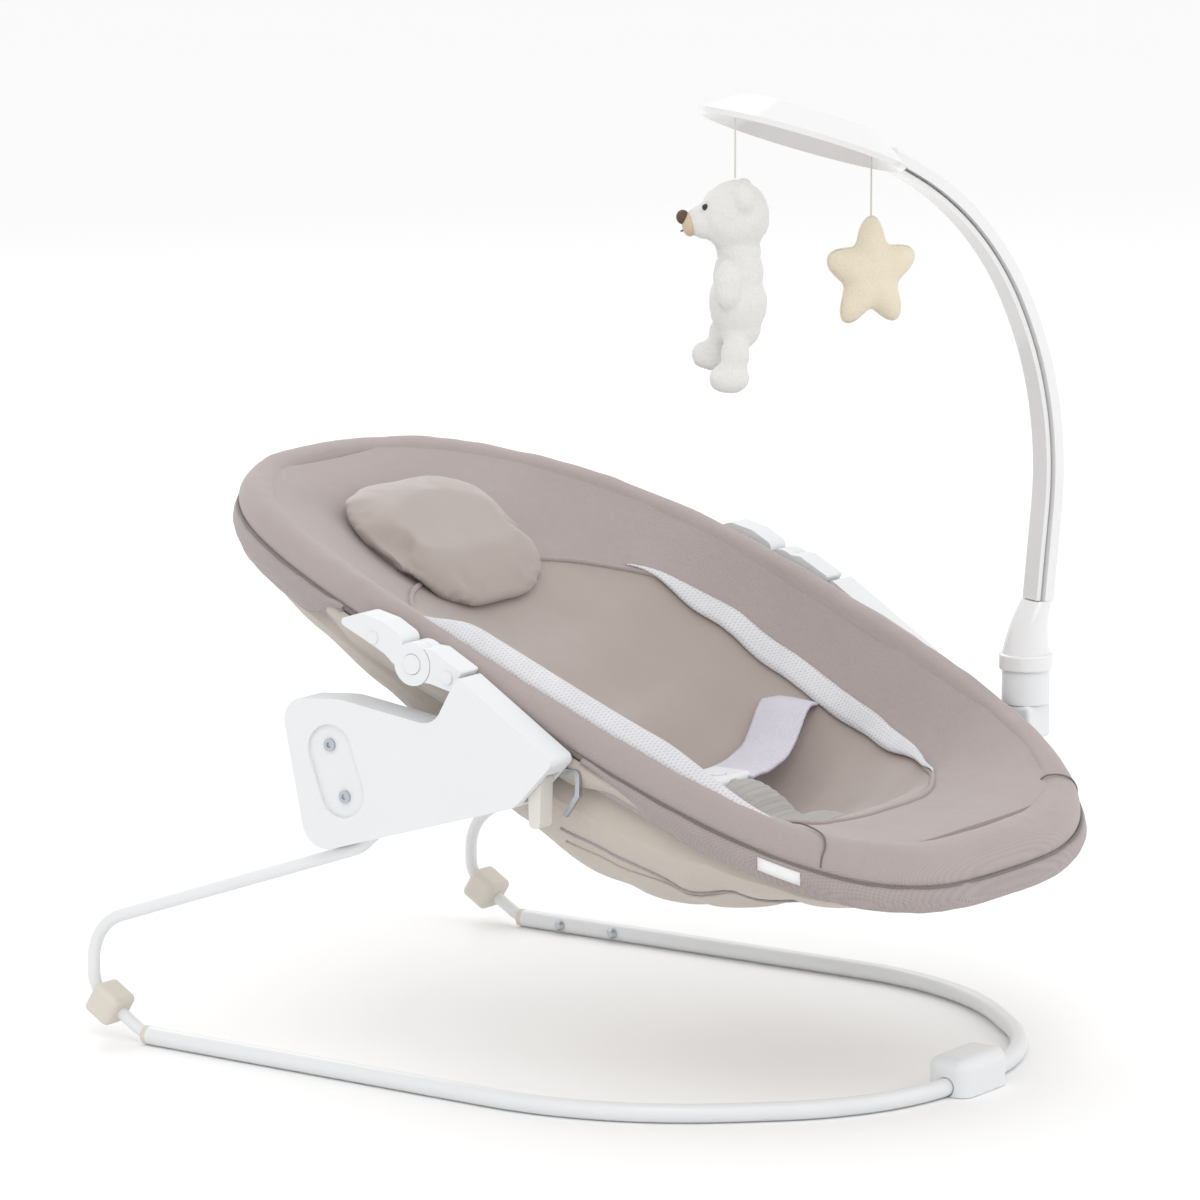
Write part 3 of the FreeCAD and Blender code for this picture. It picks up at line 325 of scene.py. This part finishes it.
def tube(name, path, radius, sides=12, closed=False):
    """Round tube along points, with sections that don't twist."""
    count = len(path)
    rows = []
    across = None
    for i, point in enumerate(path):
        ahead = path[(i + 1) % count] if closed or i < count - 1 else point
        behind = path[i - 1] if closed or i else point
        along = (ahead - behind).normalized()
        if across is None:
            across = along.orthogonal().normalized()
        across = (across - along * across.dot(along)).normalized()
        other = along.cross(across)
        rows.append([point + (across * cos(a) + other * sin(a)) * radius
                     for a in (2 * pi * k / sides for k in range(sides))])
    return loft(name, rows, closed)


def strip(name, rows, thick, closed=False):
    """Flat strip: each row of points crosses it, and it gets its thickness below that."""
    count = len(rows)
    made = []
    for i, row in enumerate(rows):
        ahead = rows[(i + 1) % count] if closed or i < count - 1 else row
        behind = rows[i - 1] if closed or i else row
        section = []
        for k, point in enumerate(row):
            along = ahead[k] - behind[k]
            across = row[min(k + 1, len(row) - 1)] - row[max(k - 1, 0)]
            section.append(point - along.cross(across).normalized() * thick)
        made.append(row + section[::-1])
    return loft(name, made, closed)


def rounded(points, bends, steps=12):
    """Straight runs joined by tangent arcs."""
    made = [points[0]]
    for before, corner, after, radius in zip(points, points[1:], points[2:], bends):
        a, b = (before - corner).normalized(), (after - corner).normalized()
        half = a.angle(b) / 2
        middle = (a + b).normalized()
        centre = corner + middle * (radius / sin(half))
        start = corner + a * (radius * cos(half) / sin(half)) - centre
        end = corner + b * (radius * cos(half) / sin(half)) - centre
        for k in range(steps + 1):
            made.append(centre + start.lerp(end, k / steps).normalized() * start.length)
    return [*made, points[-1]]


def swell(obj, pressure=4.0, voxel=0.0045, cap=0.008):
    """Inflate a padded form as cloth, keep each point within cap of where it was, and smooth it."""
    remesh = obj.modifiers.new("remesh", "REMESH")
    remesh.mode = "VOXEL"
    remesh.voxel_size = voxel
    bake(obj)
    start = [v.co.copy() for v in obj.data.vertices]
    cloth = obj.modifiers.new("cloth", "CLOTH")
    cloth.settings.use_pressure = True
    cloth.settings.uniform_pressure_force = pressure
    cloth.settings.effector_weights.gravity = 0
    cloth.point_cache.frame_start, cloth.point_cache.frame_end = 1, 20
    for step in range(1, 21):
        bpy.context.scene.frame_set(step)
    bake(obj)
    bpy.context.scene.frame_set(1)
    for vertex, old in zip(obj.data.vertices, start):
        moved = vertex.co - old
        if moved.length > cap:
            vertex.co = old + moved.normalized() * cap
    subdivide = obj.modifiers.new("subdivision", "SUBSURF")
    subdivide.levels = subdivide.render_levels = 1
    bake(obj)
    for face in obj.data.polygons:
        face.use_smooth = True
    return obj


def bake(obj):
    """Apply an object's modifiers to its mesh, at the current frame."""
    graph = bpy.context.evaluated_depsgraph_get()
    graph.update()
    made = bpy.data.meshes.new_from_object(obj.evaluated_get(graph))
    obj.modifiers.clear()
    obj.data = made


def over_recline(obj):
    """Fabric that lies where the backrest turns on the seat; its transform is baked into the mesh, and it is
    not bent.
    """
    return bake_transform(obj)


# ---------------------------------------------------------------- rim of the seat
def rim_point(angle, inset, height):
    """Point on or beside the rim seam: angle 0 is the head end, pi the foot end, left side first."""
    forward = cos(angle)
    end, power = (HEAD_END, HEAD_POWER) if forward >= 0 else (FOOT_END, FOOT_POWER)
    reach = abs(end - RIM_MID) - inset
    turn = abs(sin(angle)) ** (2 / power)
    x = -(RIM_HALF - inset) * (turn if sin(angle) >= 0 else -turn)
    y = RIM_MID + (reach if forward >= 0 else -reach) * abs(forward) ** (2 / power)
    return Vector((x, y, rim_height(y) + height))


def even_angles(count, fine=4000):
    """Angles whose seam points are evenly spaced round the rim."""
    angles = [2 * pi * k / fine for k in range(fine + 1)]
    spots = [rim_point(a, 0, 0) for a in angles]
    lengths = [0.0]
    for a, b in zip(spots, spots[1:]):
        lengths.append(lengths[-1] + (b - a).length)
    made = []
    at = 0
    for k in range(count):
        wanted = lengths[-1] * k / count
        while lengths[at + 1] < wanted:
            at += 1
        made.append(angles[at])
    return made


ANGLES = even_angles(300)
# section of the padded rim roll, as (inset, height) from the seam
ROLL_OUTSIDE = ((0.0008, -0.001), (-0.0008, 0.004), (0.0002, 0.011), (0.0045, 0.0175), (0.0120, 0.0208),
                (0.0210, 0.0190), (0.0260, 0.0128), (0.0290, 0.0055), (0.0300, -0.0040))
ROLL_INSIDE = ((0.026, -0.014), (0.014, -0.020), (0.004, -0.018), (0.0005, -0.009))


def side_of(angles, low, high):
    """The angles whose seam points have y between low and high on the left side, head end first."""
    return [a for a in angles if 0 < a < pi and low <= rim_point(a, 0, 0).y <= high]


def roll_section(angle):
    """Closed section of the padded rim roll; its inner side dips under the lining."""
    profile = curve_through([Vector((i, h, 0)) for i, h in ROLL_OUTSIDE], 4)
    profile += [Vector((i, h, 0)) for i, h in ROLL_INSIDE]
    section = []
    for inset, height, _ in profile:
        spot = rim_point(angle, inset, height)
        fullness = max(0, min(1, (height + 0.03) / 0.05))
        spot.z += pucker(spot, 0.0016 * fullness, 22) + pucker(spot, 0.0006 * fullness, 75)
        section.append(spot)
    return section


def make_rim():
    """Padded roll, its piping, and the beige strip below the seam, which is deeper beside the arms."""
    skin = loft("rim_roll", [roll_section(a) for a in ANGLES], True)
    roll = piece("rim_roll", skin, "cover_fabric", "cover")
    over_recline(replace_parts(roll, "seat_cover", "backrest_cover"))
    seam = tube("rim_piping", [rim_point(a, -0.0012, 0.0004) for a in ANGLES], SEAM_RADIUS, 8, True)
    over_recline(piece("rim_piping", seam, "cover_fabric", "piping"))
    edge = []
    for a in ANGLES:
        deep = 0.0115 + 0.0110 * smooth_step((0.13 - abs(rim_point(a, 0, 0).y)) / 0.04)
        edge.append([rim_point(a, -0.0004, -0.003), rim_point(a, -0.0010, -0.5 * deep),
                     rim_point(a, 0.0015, -deep)])
    over_recline(piece("edge_strip", strip("edge_strip", edge, 0.0015, True), "beige_fabric", "sling"))


def make_frame_tubes():
    """The two bent tubes inside the padded rim, following its curve from hinge to hinge."""
    for name, body, height, forward in (("backrest_tube", "backrest", 0.0058, 1),
                                        ("seat_tube", "carriage", 0.0075, -1)):
        low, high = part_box(name)
        angles = [a for a in ANGLES if low.y + 0.010 < rim_point(a, TUBE_INSET, 0).y < high.y]
        if forward > 0:
            angles = sorted(angles, key=lambda a: a if a < pi else a - 2 * pi)
        made = tube(name + "_bent", [rim_point(a, TUBE_INSET, height) for a in angles], TUBE_RADIUS, 20)
        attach(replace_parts(piece(name + "_bent", made, "white_metal", "metal"), name), body)


def band_drop(y):
    """How far the outer side band hangs below the seam; it stops beside the arms."""
    if y > 0:
        return 0.0215 * smooth_step((y - 0.098) / 0.05)
    return 0.0165 * smooth_step((-0.094 - y) / 0.09)


def make_side_bands():
    """Ribbed band below the seam, one round the head end and one round the foot end."""
    for name, body, keep in (("side_band_head", "backrest", lambda y: y > 0.1),
                             ("side_band_foot", "carriage", lambda y: y < -0.098)):
        angles = [a for a in ANGLES if keep(rim_point(a, 0, 0).y)]
        if body == "backrest":
            angles = sorted(angles, key=lambda a: a if a < pi else a - 2 * pi)
        rows = []
        for a in angles:
            drop = max(band_drop(rim_point(a, 0, 0).y), 0.001)
            row = []
            for share in (0, 0.2, 0.45, 0.7, 0.9, 1.0):
                bulge = 0.0034 * sin(pi * min(share * 1.05, 1))
                spot = rim_point(a, -0.0012 - bulge + 0.002 * share, -drop * share)
                spot.z += pucker(spot, 0.0007, 60)
                row.append(spot)
            rows.append(row)
        made = piece(name, strip(name, rows, 0.0015), "cover_fabric", "band")
        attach(made, body)


# ---------------------------------------------------------------- hollow and underside
def half_at(y, inset):
    """Half width at y of the rim outline, drawn in by inset."""
    end, power = (HEAD_END, HEAD_POWER) if y > RIM_MID else (FOOT_END, FOOT_POWER)
    share = abs(y - RIM_MID) / (abs(end - RIM_MID) - inset)
    return (RIM_HALF - inset) * max(1 - share ** power, 0) ** (1 / power)


def rim_share(x, y, inset):
    """How far out a place is: 0 in the middle and 1 on the outline drawn in by inset."""
    end, power = (HEAD_END, HEAD_POWER) if y > RIM_MID else (FOOT_END, FOOT_POWER)
    along = abs(y - RIM_MID) / (abs(end - RIM_MID) - inset)
    return ((abs(x) / (RIM_HALF - inset)) ** power + along ** power) ** (1 / power)


def stations(inset, count):
    """Places along Y from the foot end to the head end, closer together at both ends."""
    low, high = FOOT_END + inset + 0.0008, HEAD_END - inset - 0.0008
    return [low + (high - low) * (1 - cos(pi * k / (count - 1))) / 2 for k in range(count)]


def underside_height(x, y):
    """The sling, round in section and lowest along the middle."""
    share = min(abs(x) / max(half_at(y, HOLLOW_INSET), 0.001), 1)
    deep = max(hollow_depth(y) - 0.014, 0.008)
    return rim_height(y) - 0.014 - deep * (1 - share ** 2.7) ** (1 / 2.7)


def inside_height(x, y):
    """The lining, gently curved from wall to wall."""
    deep = hollow_depth(y) - 0.004
    return rim_height(y) + LINING_RISE - deep * (1 - min(rim_share(x, y, LINING_INSET), 1) ** 2.2)


def lining_point(x, y, lift=0.0):
    """Place on the lining, with its soft unevenness."""
    spot = Vector((x, y, inside_height(x, y)))
    fade = 1 - min(rim_share(x, y, LINING_INSET), 1) ** 4
    spot.z += (pucker(spot, 0.0024, 20) + pucker(spot, 0.0006, 90)) * fade + lift
    return spot


def underside_point(x, y, out=0.0):
    """Place on the underside of the sling, with its soft unevenness."""
    spot = Vector((x, y, underside_height(x, y)))
    share = min(abs(x) / max(half_at(y, SLING_INSET), 0.001), 1)
    spot.z += pucker(spot, 0.0030, 16) * (1 - share ** 2) - out
    return spot


def panel_half(y):
    """Half width at y of the smooth panel sewn into the middle of the lining."""
    return PANEL_HALF * max(1 - abs((y - PANEL_MID) / PANEL_LONG) ** PANEL_POWER, 0) ** (1 / PANEL_POWER)


def make_shell():
    """Padded tub between the rims: lining on top, beige sling below, as one closed form."""
    across = 80
    rows = []
    for y in stations(0.028, 170):
        spread = [sin(pi * (k / across - 0.5)) for k in range(across + 1)]
        row = [underside_point(half_at(y, SLING_INSET) * s, y) for s in spread]
        row += [lining_point(half_at(y, LINING_INSET) * s, y) for s in reversed(spread)]
        rows.append(row)
    made = piece("seat_shell", loft("seat_shell", rows), "liner_fabric", "sling", "liner", "cover")
    for face in made.data.polygons:
        x, y, z = face.center
        above = z > (underside_height(x, y) + inside_height(x, y)) / 2 and rim_share(x, y, LINING_INSET) < 1
        face.material_index = (2 if abs(x) > panel_half(y) else 1) if above else 0
    over_recline(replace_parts(made, "underseat_sling", "seat_liner"))
    edge = []
    for k in range(200):
        a = 2 * pi * k / 200
        x = PANEL_HALF * signed_power(cos(a), 2 / PANEL_POWER)
        y = PANEL_MID + PANEL_LONG * signed_power(sin(a), 2 / PANEL_POWER)
        edge.append(lining_point(x, y, 0.0004))
    over_recline(piece("panel_edge", tube("panel_edge", edge, 0.0022, 8, True), "liner_fabric", "cover"))


def make_underside_seams():
    """Two rows of piping along each side of the sling's underside."""
    for side, sign in SIDES:
        for k, share in enumerate((0.955, 0.925)):
            path = []
            for n in range(66):
                y = -0.075 - 0.0025 * n
                narrow = 1 - 0.25 * smooth_step((-0.12 - y) / 0.14)
                path.append(underside_point(sign * share * half_at(y, HOLLOW_INSET) * narrow, y, 0.0008))
            row = tube("sling_piping", path, 0.0011, 8)
            made = piece(f"sling_piping_{side}_{k + 1}", row, "beige_fabric", "band" if k == 0 else "sling")
            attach(made, "carriage")


# section of the raised mesh ridge, as (inset, height) from the seam
MESH_RIDGE = ((0.0130, 0.0195), (0.0165, 0.0250), (0.0215, 0.0292), (0.0275, 0.0312), (0.0325, 0.0290),
              (0.0360, 0.0190), (0.0385, -0.0100))


def make_mesh_bands():
    """White open mesh: a raised ridge along the left rim, a flat band below the padded wall on the right."""
    ridge = []
    for a in side_of(ANGLES, -0.255, 0.060):
        y = rim_point(a, 0, 0).y
        full = min(smooth_step((0.060 - y) / 0.055), smooth_step((y + 0.255) / 0.10))
        (start_inset, start_height), *_ = MESH_RIDGE
        ridge.append([rim_point(a, start_inset + (inset - start_inset) * full,
                                start_height + (height - start_height) * full)
                      for inset, height in MESH_RIDGE])
    over_recline(piece("mesh_band_left", strip("mesh_band_left", ridge, 0.002), "webbing", "mesh"))
    flat = []
    for k in range(73):
        y = 0.100 - 0.004 * k
        full = min(smooth_step((0.100 - y) / 0.06), smooth_step((y + 0.188) / 0.06))
        row = []
        for s in (0, 0.25, 0.5, 0.75, 1):
            x = panel_half(y) * (1.01 - 0.095 * full * s)
            row.append(lining_point(x, y, 0.0022 + 0.0012 * sin(pi * s) * full))
        flat.append(row)
    over_recline(piece("mesh_band_right", strip("mesh_band_right", flat, 0.002), "webbing", "mesh"))


# ---------------------------------------------------------------- harness and cushion
def make_head_cushion():
    """Stuffed satin head cushion that lies on the lining, plump in the middle."""
    low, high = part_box("head_cushion")
    middle = (low + high) / 2
    wide, long = 0.084, 0.056
    middle.y -= 0.012       # a little nearer the foot end, as seen
    rows = []
    for k in range(25):
        v = cos(pi * k / 24)
        row = []
        for n in range(48):
            a = 2 * pi * n / 48
            round_x, round_y = signed_power(cos(a), 0.72), signed_power(sin(a), 0.72)
            shrink = (1 - v * v) ** 0.32
            x, y = round_x * wide * shrink, middle.y + round_y * long * shrink
            row.append(Vector((x, y, inside_height(x, y) + 0.0095 + 0.0125 * v)))
        rows.append(row)
    cushion = piece("head_pillow", loft("head_pillow", rows), "liner_fabric", "liner")
    swell(cushion, cap=0.006)
    crease_towards_edge(cushion, middle, wide)
    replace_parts(cushion, "head_cushion")
    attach(cushion, "backrest")


def crease_towards_edge(obj, middle, wide):
    """Soft gathers that run in from the sewn edge of a cushion."""
    for vertex in obj.data.vertices:
        rel = vertex.co - middle
        reach = min(rel.xy.length / wide, 1)
        wave = sin(14 * rel.xy.angle_signed(Vector((0, 1)), 0)) if rel.xy.length > 0.002 else 0
        vertex.co.z += 0.0006 * wave * smooth_step((reach - 0.55) / 0.4)
        vertex.co.z += pucker(vertex.co, 0.0014, 26)


def ribbon_rows(points, half_width, across, bow=0.0):
    """Rows across a strap: it runs along points, as wide as twice half_width."""
    rows = []
    for point in points:
        row = []
        for s in (-1, -0.92, -0.45, 0, 0.45, 0.92, 1):
            row.append(point + across * (half_width * s) + Vector((0, 0, bow * (1 - s * s))))
        rows.append(row)
    return rows


def make_harness():
    """Waist straps that rise out of the lining to the buckle, and the ribbed crotch pad."""
    low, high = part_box("buckle_housing")
    buckle = (low + high) / 2
    for side, sign in SIDES:
        strap_low, strap_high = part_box(f"waist_strap_{side}")
        outer_x = strap_low.x if sign < 0 else strap_high.x
        inner_x = low.x if sign < 0 else high.x
        start = Vector((outer_x + sign * 0.012, buckle.y + 0.028, inside_height(outer_x, buckle.y) - 0.002))
        knots = [start, Vector((outer_x * 0.86, buckle.y + 0.021, start.z + 0.004)),
                 Vector((outer_x * 0.55, buckle.y + 0.009, buckle.z + 0.007)),
                 Vector((inner_x - sign * 0.006, buckle.y, buckle.z + 0.001))]
        path = curve_through(knots, 14)
        rows = ribbon_rows(path, 0.0205, Vector((0, 1, 0)), 0.0016)
        for row in rows:
            for spot in row:
                spot.z += pucker(spot, 0.0016, 45)
        strap = piece(f"waist_webbing_{side}", strip("webbing", rows, 0.0022), "webbing", "webbing")
        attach(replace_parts(strap, f"waist_strap_{side}"), "carriage")
        for k, edge in enumerate((-0.017, 0.017)):
            line = [point + Vector((0, edge, 0.0016)) for point in path]
            stitch = tube("stitch", line, 0.00045, STRING_SIDES)
            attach(piece(f"strap_stitch_{side}_{k + 1}", stitch, "webbing", "webbing"), "carriage")
    low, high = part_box("crotch_pad")
    rise = buckle.z - inside_height(0, buckle.y)
    rows = []
    for n in range(40):
        t = n / 39
        y = low.y + (high.y - low.y) * t
        half = 0.030 - 0.010 * t + 0.004 * sin(pi * t)
        middle = inside_height(0, y) + 0.006 + rise * smooth_step((t - 0.35) / 0.65)
        row = []
        for k in range(32):
            a = 2 * pi * k / 32
            row.append(Vector((half * signed_power(cos(a), 0.7), y, middle - 0.003 + 0.0058 * sin(a))))
        rows.append(row)
    pad = piece("crotch_cushion", loft("crotch_cushion", rows), "pad_fabric", "pad")
    swell(pad, voxel=0.0035, cap=0.003)
    for vertex in pad.data.vertices:
        vertex.co.z += 0.0005 * sin(vertex.co.y * 2 * pi / 0.006)
    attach(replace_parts(pad, "crotch_pad"), "carriage")


def make_tag():
    """Blank sewn tag under the seam on the left, near the foot end."""
    rows = []
    for a in side_of(ANGLES, -0.253, -0.222):
        rows.append([rim_point(a, -0.0046 - 0.0006 * s, -0.001 - 0.0085 * s) for s in (0, 0.5, 1)])
    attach(piece("blank_tag", strip("blank_tag", rows, 0.0008), "webbing", "tag"), "carriage")


def make_panel_seams():
    """Sewn lines across the roll near the foot end; the left one curves towards the head."""
    for (side, sign), low, bend in zip(SIDES, (-0.263, -0.272), (0.036, 0.012)):
        path = []
        for inset, height in ROLL_OUTSIDE[1:7]:
            y = low + bend * (inset / 0.026) ** 2
            path.append(Vector((sign * half_at(y, inset), y, rim_height(y) + height + 0.0010)))
        seam = tube("panel_seam", curve_through(path, 5), 0.0007, STRING_SIDES)
        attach(piece(f"panel_seam_{side}", seam, "cover_fabric", "piping"), "carriage")


# ---------------------------------------------------------------- spring wires
# corners of a spring wire, as (Y, Z), and the radius of each bend between its ends
WIRE_PATH = ((0.232, 0.0065), (0.266, 0.0065), (0.3125, 0.0342), (0.3125, 0.0815), (0.074, 0.1663),
             (0.025, 0.2097))
WIRE_BENDS = (0.030, 0.022, 0.038, 0.030)


def make_spring_wires():
    """The bent wires with their rear bends, from the floor loop to the arms."""
    for side, _ in SIDES:
        low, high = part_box(f"spring_wire_{side}")
        x = (low.x + high.x) / 2
        corners = [Vector((x, y, z)) for y, z in WIRE_PATH]
        path = []
        for a, b in zip(rounded(corners, WIRE_BENDS), rounded(corners, WIRE_BENDS)[1:]):
            steps = max(1, int((b - a).length / 0.006))
            path += [a.lerp(b, k / steps) for k in range(steps)]
        path.append(corners[-1])
        bent = tube("rear_wire", path, (high.x - low.x) / 2, 20)
        wire = piece(f"rear_wire_{side}", bent, "white_metal", "metal")
        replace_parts(wire, f"spring_wire_{side}")
        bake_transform(wire)


# ---------------------------------------------------------------- toys
def blob(parts, place, facing, sideways):
    """Rounded body parts joined into one skin; each part is centre and radii as forward, side, up."""
    bm = bmesh.new()
    for centre, radii in parts:
        made = bmesh.ops.create_icosphere(bm, subdivisions=4, radius=1)
        for vertex in made["verts"]:
            f, s, u = (c + r * v for c, r, v in zip(centre, radii, vertex.co))
            vertex.co = place + (facing * f + sideways * s + Vector((0, 0, u))) / 1000
    mesh = bpy.data.meshes.new("blob")
    bm.to_mesh(mesh)
    bm.free()
    return mesh


def soften(obj, voxel, rounds, lumps):
    """Join overlapping parts into one stuffed skin and give it a short uneven pile."""
    remesh = obj.modifiers.new("remesh", "REMESH")
    remesh.mode = "VOXEL"
    remesh.voxel_size = voxel
    relax = obj.modifiers.new("relax", "SMOOTH")
    relax.factor, relax.iterations = 0.5, rounds
    bake(obj)
    obj.data.update()
    for vertex in obj.data.vertices:
        pile = pucker(vertex.co, lumps, 90) + pucker(vertex.co, lumps * 0.45, 420)
        vertex.co += vertex.normal * pile
    for face in obj.data.polygons:
        face.use_smooth = True
    return obj


# centre and radii of each part below the string, in mm, as forward, side, up
BEAR_PARTS = (((0, 0, -27), (24, 23, 25)), ((20, 0, -31), (14, 13, 12)), ((-3, 0, -52), (15, 16, 14)),
              ((-3, 0, -66), (17, 18, 18)), ((-2, 0, -88), (20, 21, 25)), ((-3, 0, -106), (15, 16, 14)))
BEAR_LIMBS = (((-6, 19, -13), (7, 9, 10)), ((5, 20, -72), (10, 8, 18)))
BEAR_LEGS = (((0, -12, -122), (10, 9, 15)), ((4, -14, -138), (14, 9, 11)),
             ((8, 12, -112), (10, 9, 14)), ((16, 14, -126), (14, 9, 11)))


def make_bear():
    """Plush bear that hangs on its string, with a stitched face."""
    low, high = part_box("bear_string")
    hang = Vector(((low.x + high.x) / 2, (low.y + high.y) / 2, low.z))
    facing, sideways = Vector((-0.575, 0.818, 0)), Vector((0.818, 0.575, 0))
    limbs = [((f, s * sign, u), radii) for (f, s, u), radii in BEAR_LIMBS for sign in (-1, 1)]
    skin = blob([*BEAR_PARTS, *BEAR_LEGS, *limbs], hang + Vector((0, 0, 0.001)), facing, sideways)
    body = piece("plush_bear", skin, "plush_white", "white_plush")
    soften(body, 0.0021, 5, 0.0009)
    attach(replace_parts(body, "bear"), "bear")
    muzzle = blob([((31, 0, -32), (5.5, 9.5, 8.5))], hang, facing, sideways)
    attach(piece("bear_muzzle", muzzle, "plush_cream", "snout"), "bear")
    nose = blob([((36, 0, -27), (4.5, 6.5, 5))], hang, facing, sideways)
    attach(piece("bear_nose", nose, "toy_bar_plastic", "brown"), "bear")
    eyes = blob([((20.5, s, -19), (2.4, 2.4, 2.4)) for s in (-10, 10)], hang, facing, sideways)
    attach(piece("bear_eyes", eyes, "toy_bar_plastic", "dark"), "bear")
    mouth = [hang + (facing * (37.2 - abs(k) * 0.9) + sideways * (k * 1.3)
                     + Vector((0, 0, -34.5 - 1.2 * (4 - abs(k)) ** 0.5))) / 1000 for k in range(-4, 5)]
    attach(piece("bear_mouth", tube("bear_mouth", mouth, 0.0005, STRING_SIDES), "string", "brown"), "bear")


def star_edge(angle, wide):
    """Point on the outline of the star, from its middle."""
    turn = angle - pi / 2
    reach = 0.0322 + 0.0078 * cos(5 * turn) + 0.0004 * cos(10 * turn)
    return wide * (cos(angle) * reach * 0.88) + Vector((0, 0, sin(angle) * reach))


def make_star():
    """Stuffed five-pointed star with rounded points and a sewn edge."""
    low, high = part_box("star_string")
    hang = Vector(((low.x + high.x) / 2, (low.y + high.y) / 2, low.z))
    view = Vector((-0.50, -0.866, 0)).normalized()
    wide = Vector((view.y, -view.x, 0))
    middle = hang - Vector((0, 0, 0.0400))
    rows = []
    for k in range(21):
        v = cos(pi * k / 20)
        shrink = (1 - v * v) ** 0.42
        row = []
        for n in range(100):
            a = 2 * pi * n / 100
            row.append(middle + star_edge(a, wide) * shrink + view * (0.0105 * v))
        rows.append(row)
    star = piece("plush_star", loft("plush_star", rows), "plush_cream", "cream_plush")
    soften(star, 0.0018, 2, 0.0006)
    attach(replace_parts(star, "star"), "star")
    edge = []
    for n in range(120):
        a = 2 * pi * n / 120
        edge.append(middle + star_edge(a, wide))
    seam = tube("star_seam", edge, 0.0006, STRING_SIDES, True)
    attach(piece("star_seam", seam, "plush_cream", "cream_plush"), "star")


def make_strings():
    """The two toy strings, each a straight taut cord from the ring to its toy."""
    for name in ("bear", "star"):
        low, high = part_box(f"{name}_string")
        x, y = (low.x + high.x) / 2, (low.y + high.y) / 2
        curve = bpy.data.curves.new(f"{name}_cord", "CURVE")
        curve.dimensions = "3D"
        curve.bevel_depth = (high.x - low.x) / 2
        spline = curve.splines.new("NURBS")
        spline.points.add(3)
        for k, point in enumerate(spline.points):
            point.co = (x, y, high.z + (low.z - high.z) * k / 3, 1)
        spline.order_u = 3
        spline.use_endpoint_u = True
        curve.materials.append(M["string"])
        cord = bpy.data.objects.new(f"{name}_cord", curve)
        bpy.context.scene.collection.objects.link(cord)
        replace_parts(cord, f"{name}_string")
        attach(cord, name)


# ---------------------------------------------------------------- stage
def make_stage():
    """Pale floor, soft studio light and the camera."""
    floor_mesh = bpy.data.meshes.new("floor")
    half = 12.0
    floor_mesh.from_pydata([(-half, -half, -0.0005), (half, -half, -0.0005), (half, half, -0.0005),
                            (-half, half, -0.0005)], [], [(0, 1, 2, 3)])
    floor = bpy.data.objects.new("floor", floor_mesh)
    bpy.context.scene.collection.objects.link(floor)
    ground = Shader("floor", (0.95, 0.95, 0.95), 0.7)
    floor_mesh.materials.append(ground.material)
    world = bpy.data.worlds.new("studio")
    world.use_nodes = True
    world.node_tree.nodes["Background"].inputs["Color"].default_value = (1, 1, 1, 1)
    world.node_tree.nodes["Background"].inputs["Strength"].default_value = 1.0
    bpy.context.scene.world = world
    bpy.context.scene.view_settings.view_transform = "Standard"
    for name, place, size, power in (("key", (-2.2, -1.6, 3.0), 2.0, 26), ("fill", (1.8, -2.6, 1.8), 2.5, 10),
                                     ("rim", (1.6, 2.4, 2.4), 2.0, 22)):
        lamp = bpy.data.lights.new(name, "AREA")
        lamp.size, lamp.energy = size, power
        obj = bpy.data.objects.new(name, lamp)
        obj.location = place
        obj.rotation_euler = (Vector((0, 0, 0.3)) - Vector(place)).to_track_quat("-Z", "Y").to_euler()
        bpy.context.scene.collection.objects.link(obj)
    lens = bpy.data.cameras.new("camera")
    lens.lens, lens.sensor_width = 209.1, 36
    lens.clip_end = 100
    camera = bpy.data.objects.new("camera", lens)
    camera.location = (-3.9763, -2.7656, 1.1949)
    target = Vector((0.04708, 0.06496, 0.300))
    camera.rotation_euler = (target - camera.location).to_track_quat("-Z", "Y").to_euler()
    bpy.context.scene.collection.objects.link(camera)
    bpy.context.scene.camera = camera


make_stage()
make_strings()
dress_cad_nodes()
make_rim()
make_frame_tubes()
make_side_bands()
make_shell()
make_underside_seams()
make_mesh_bands()
make_head_cushion()
make_harness()
make_tag()
make_panel_seams()
make_spring_wires()
make_bear()
make_star()
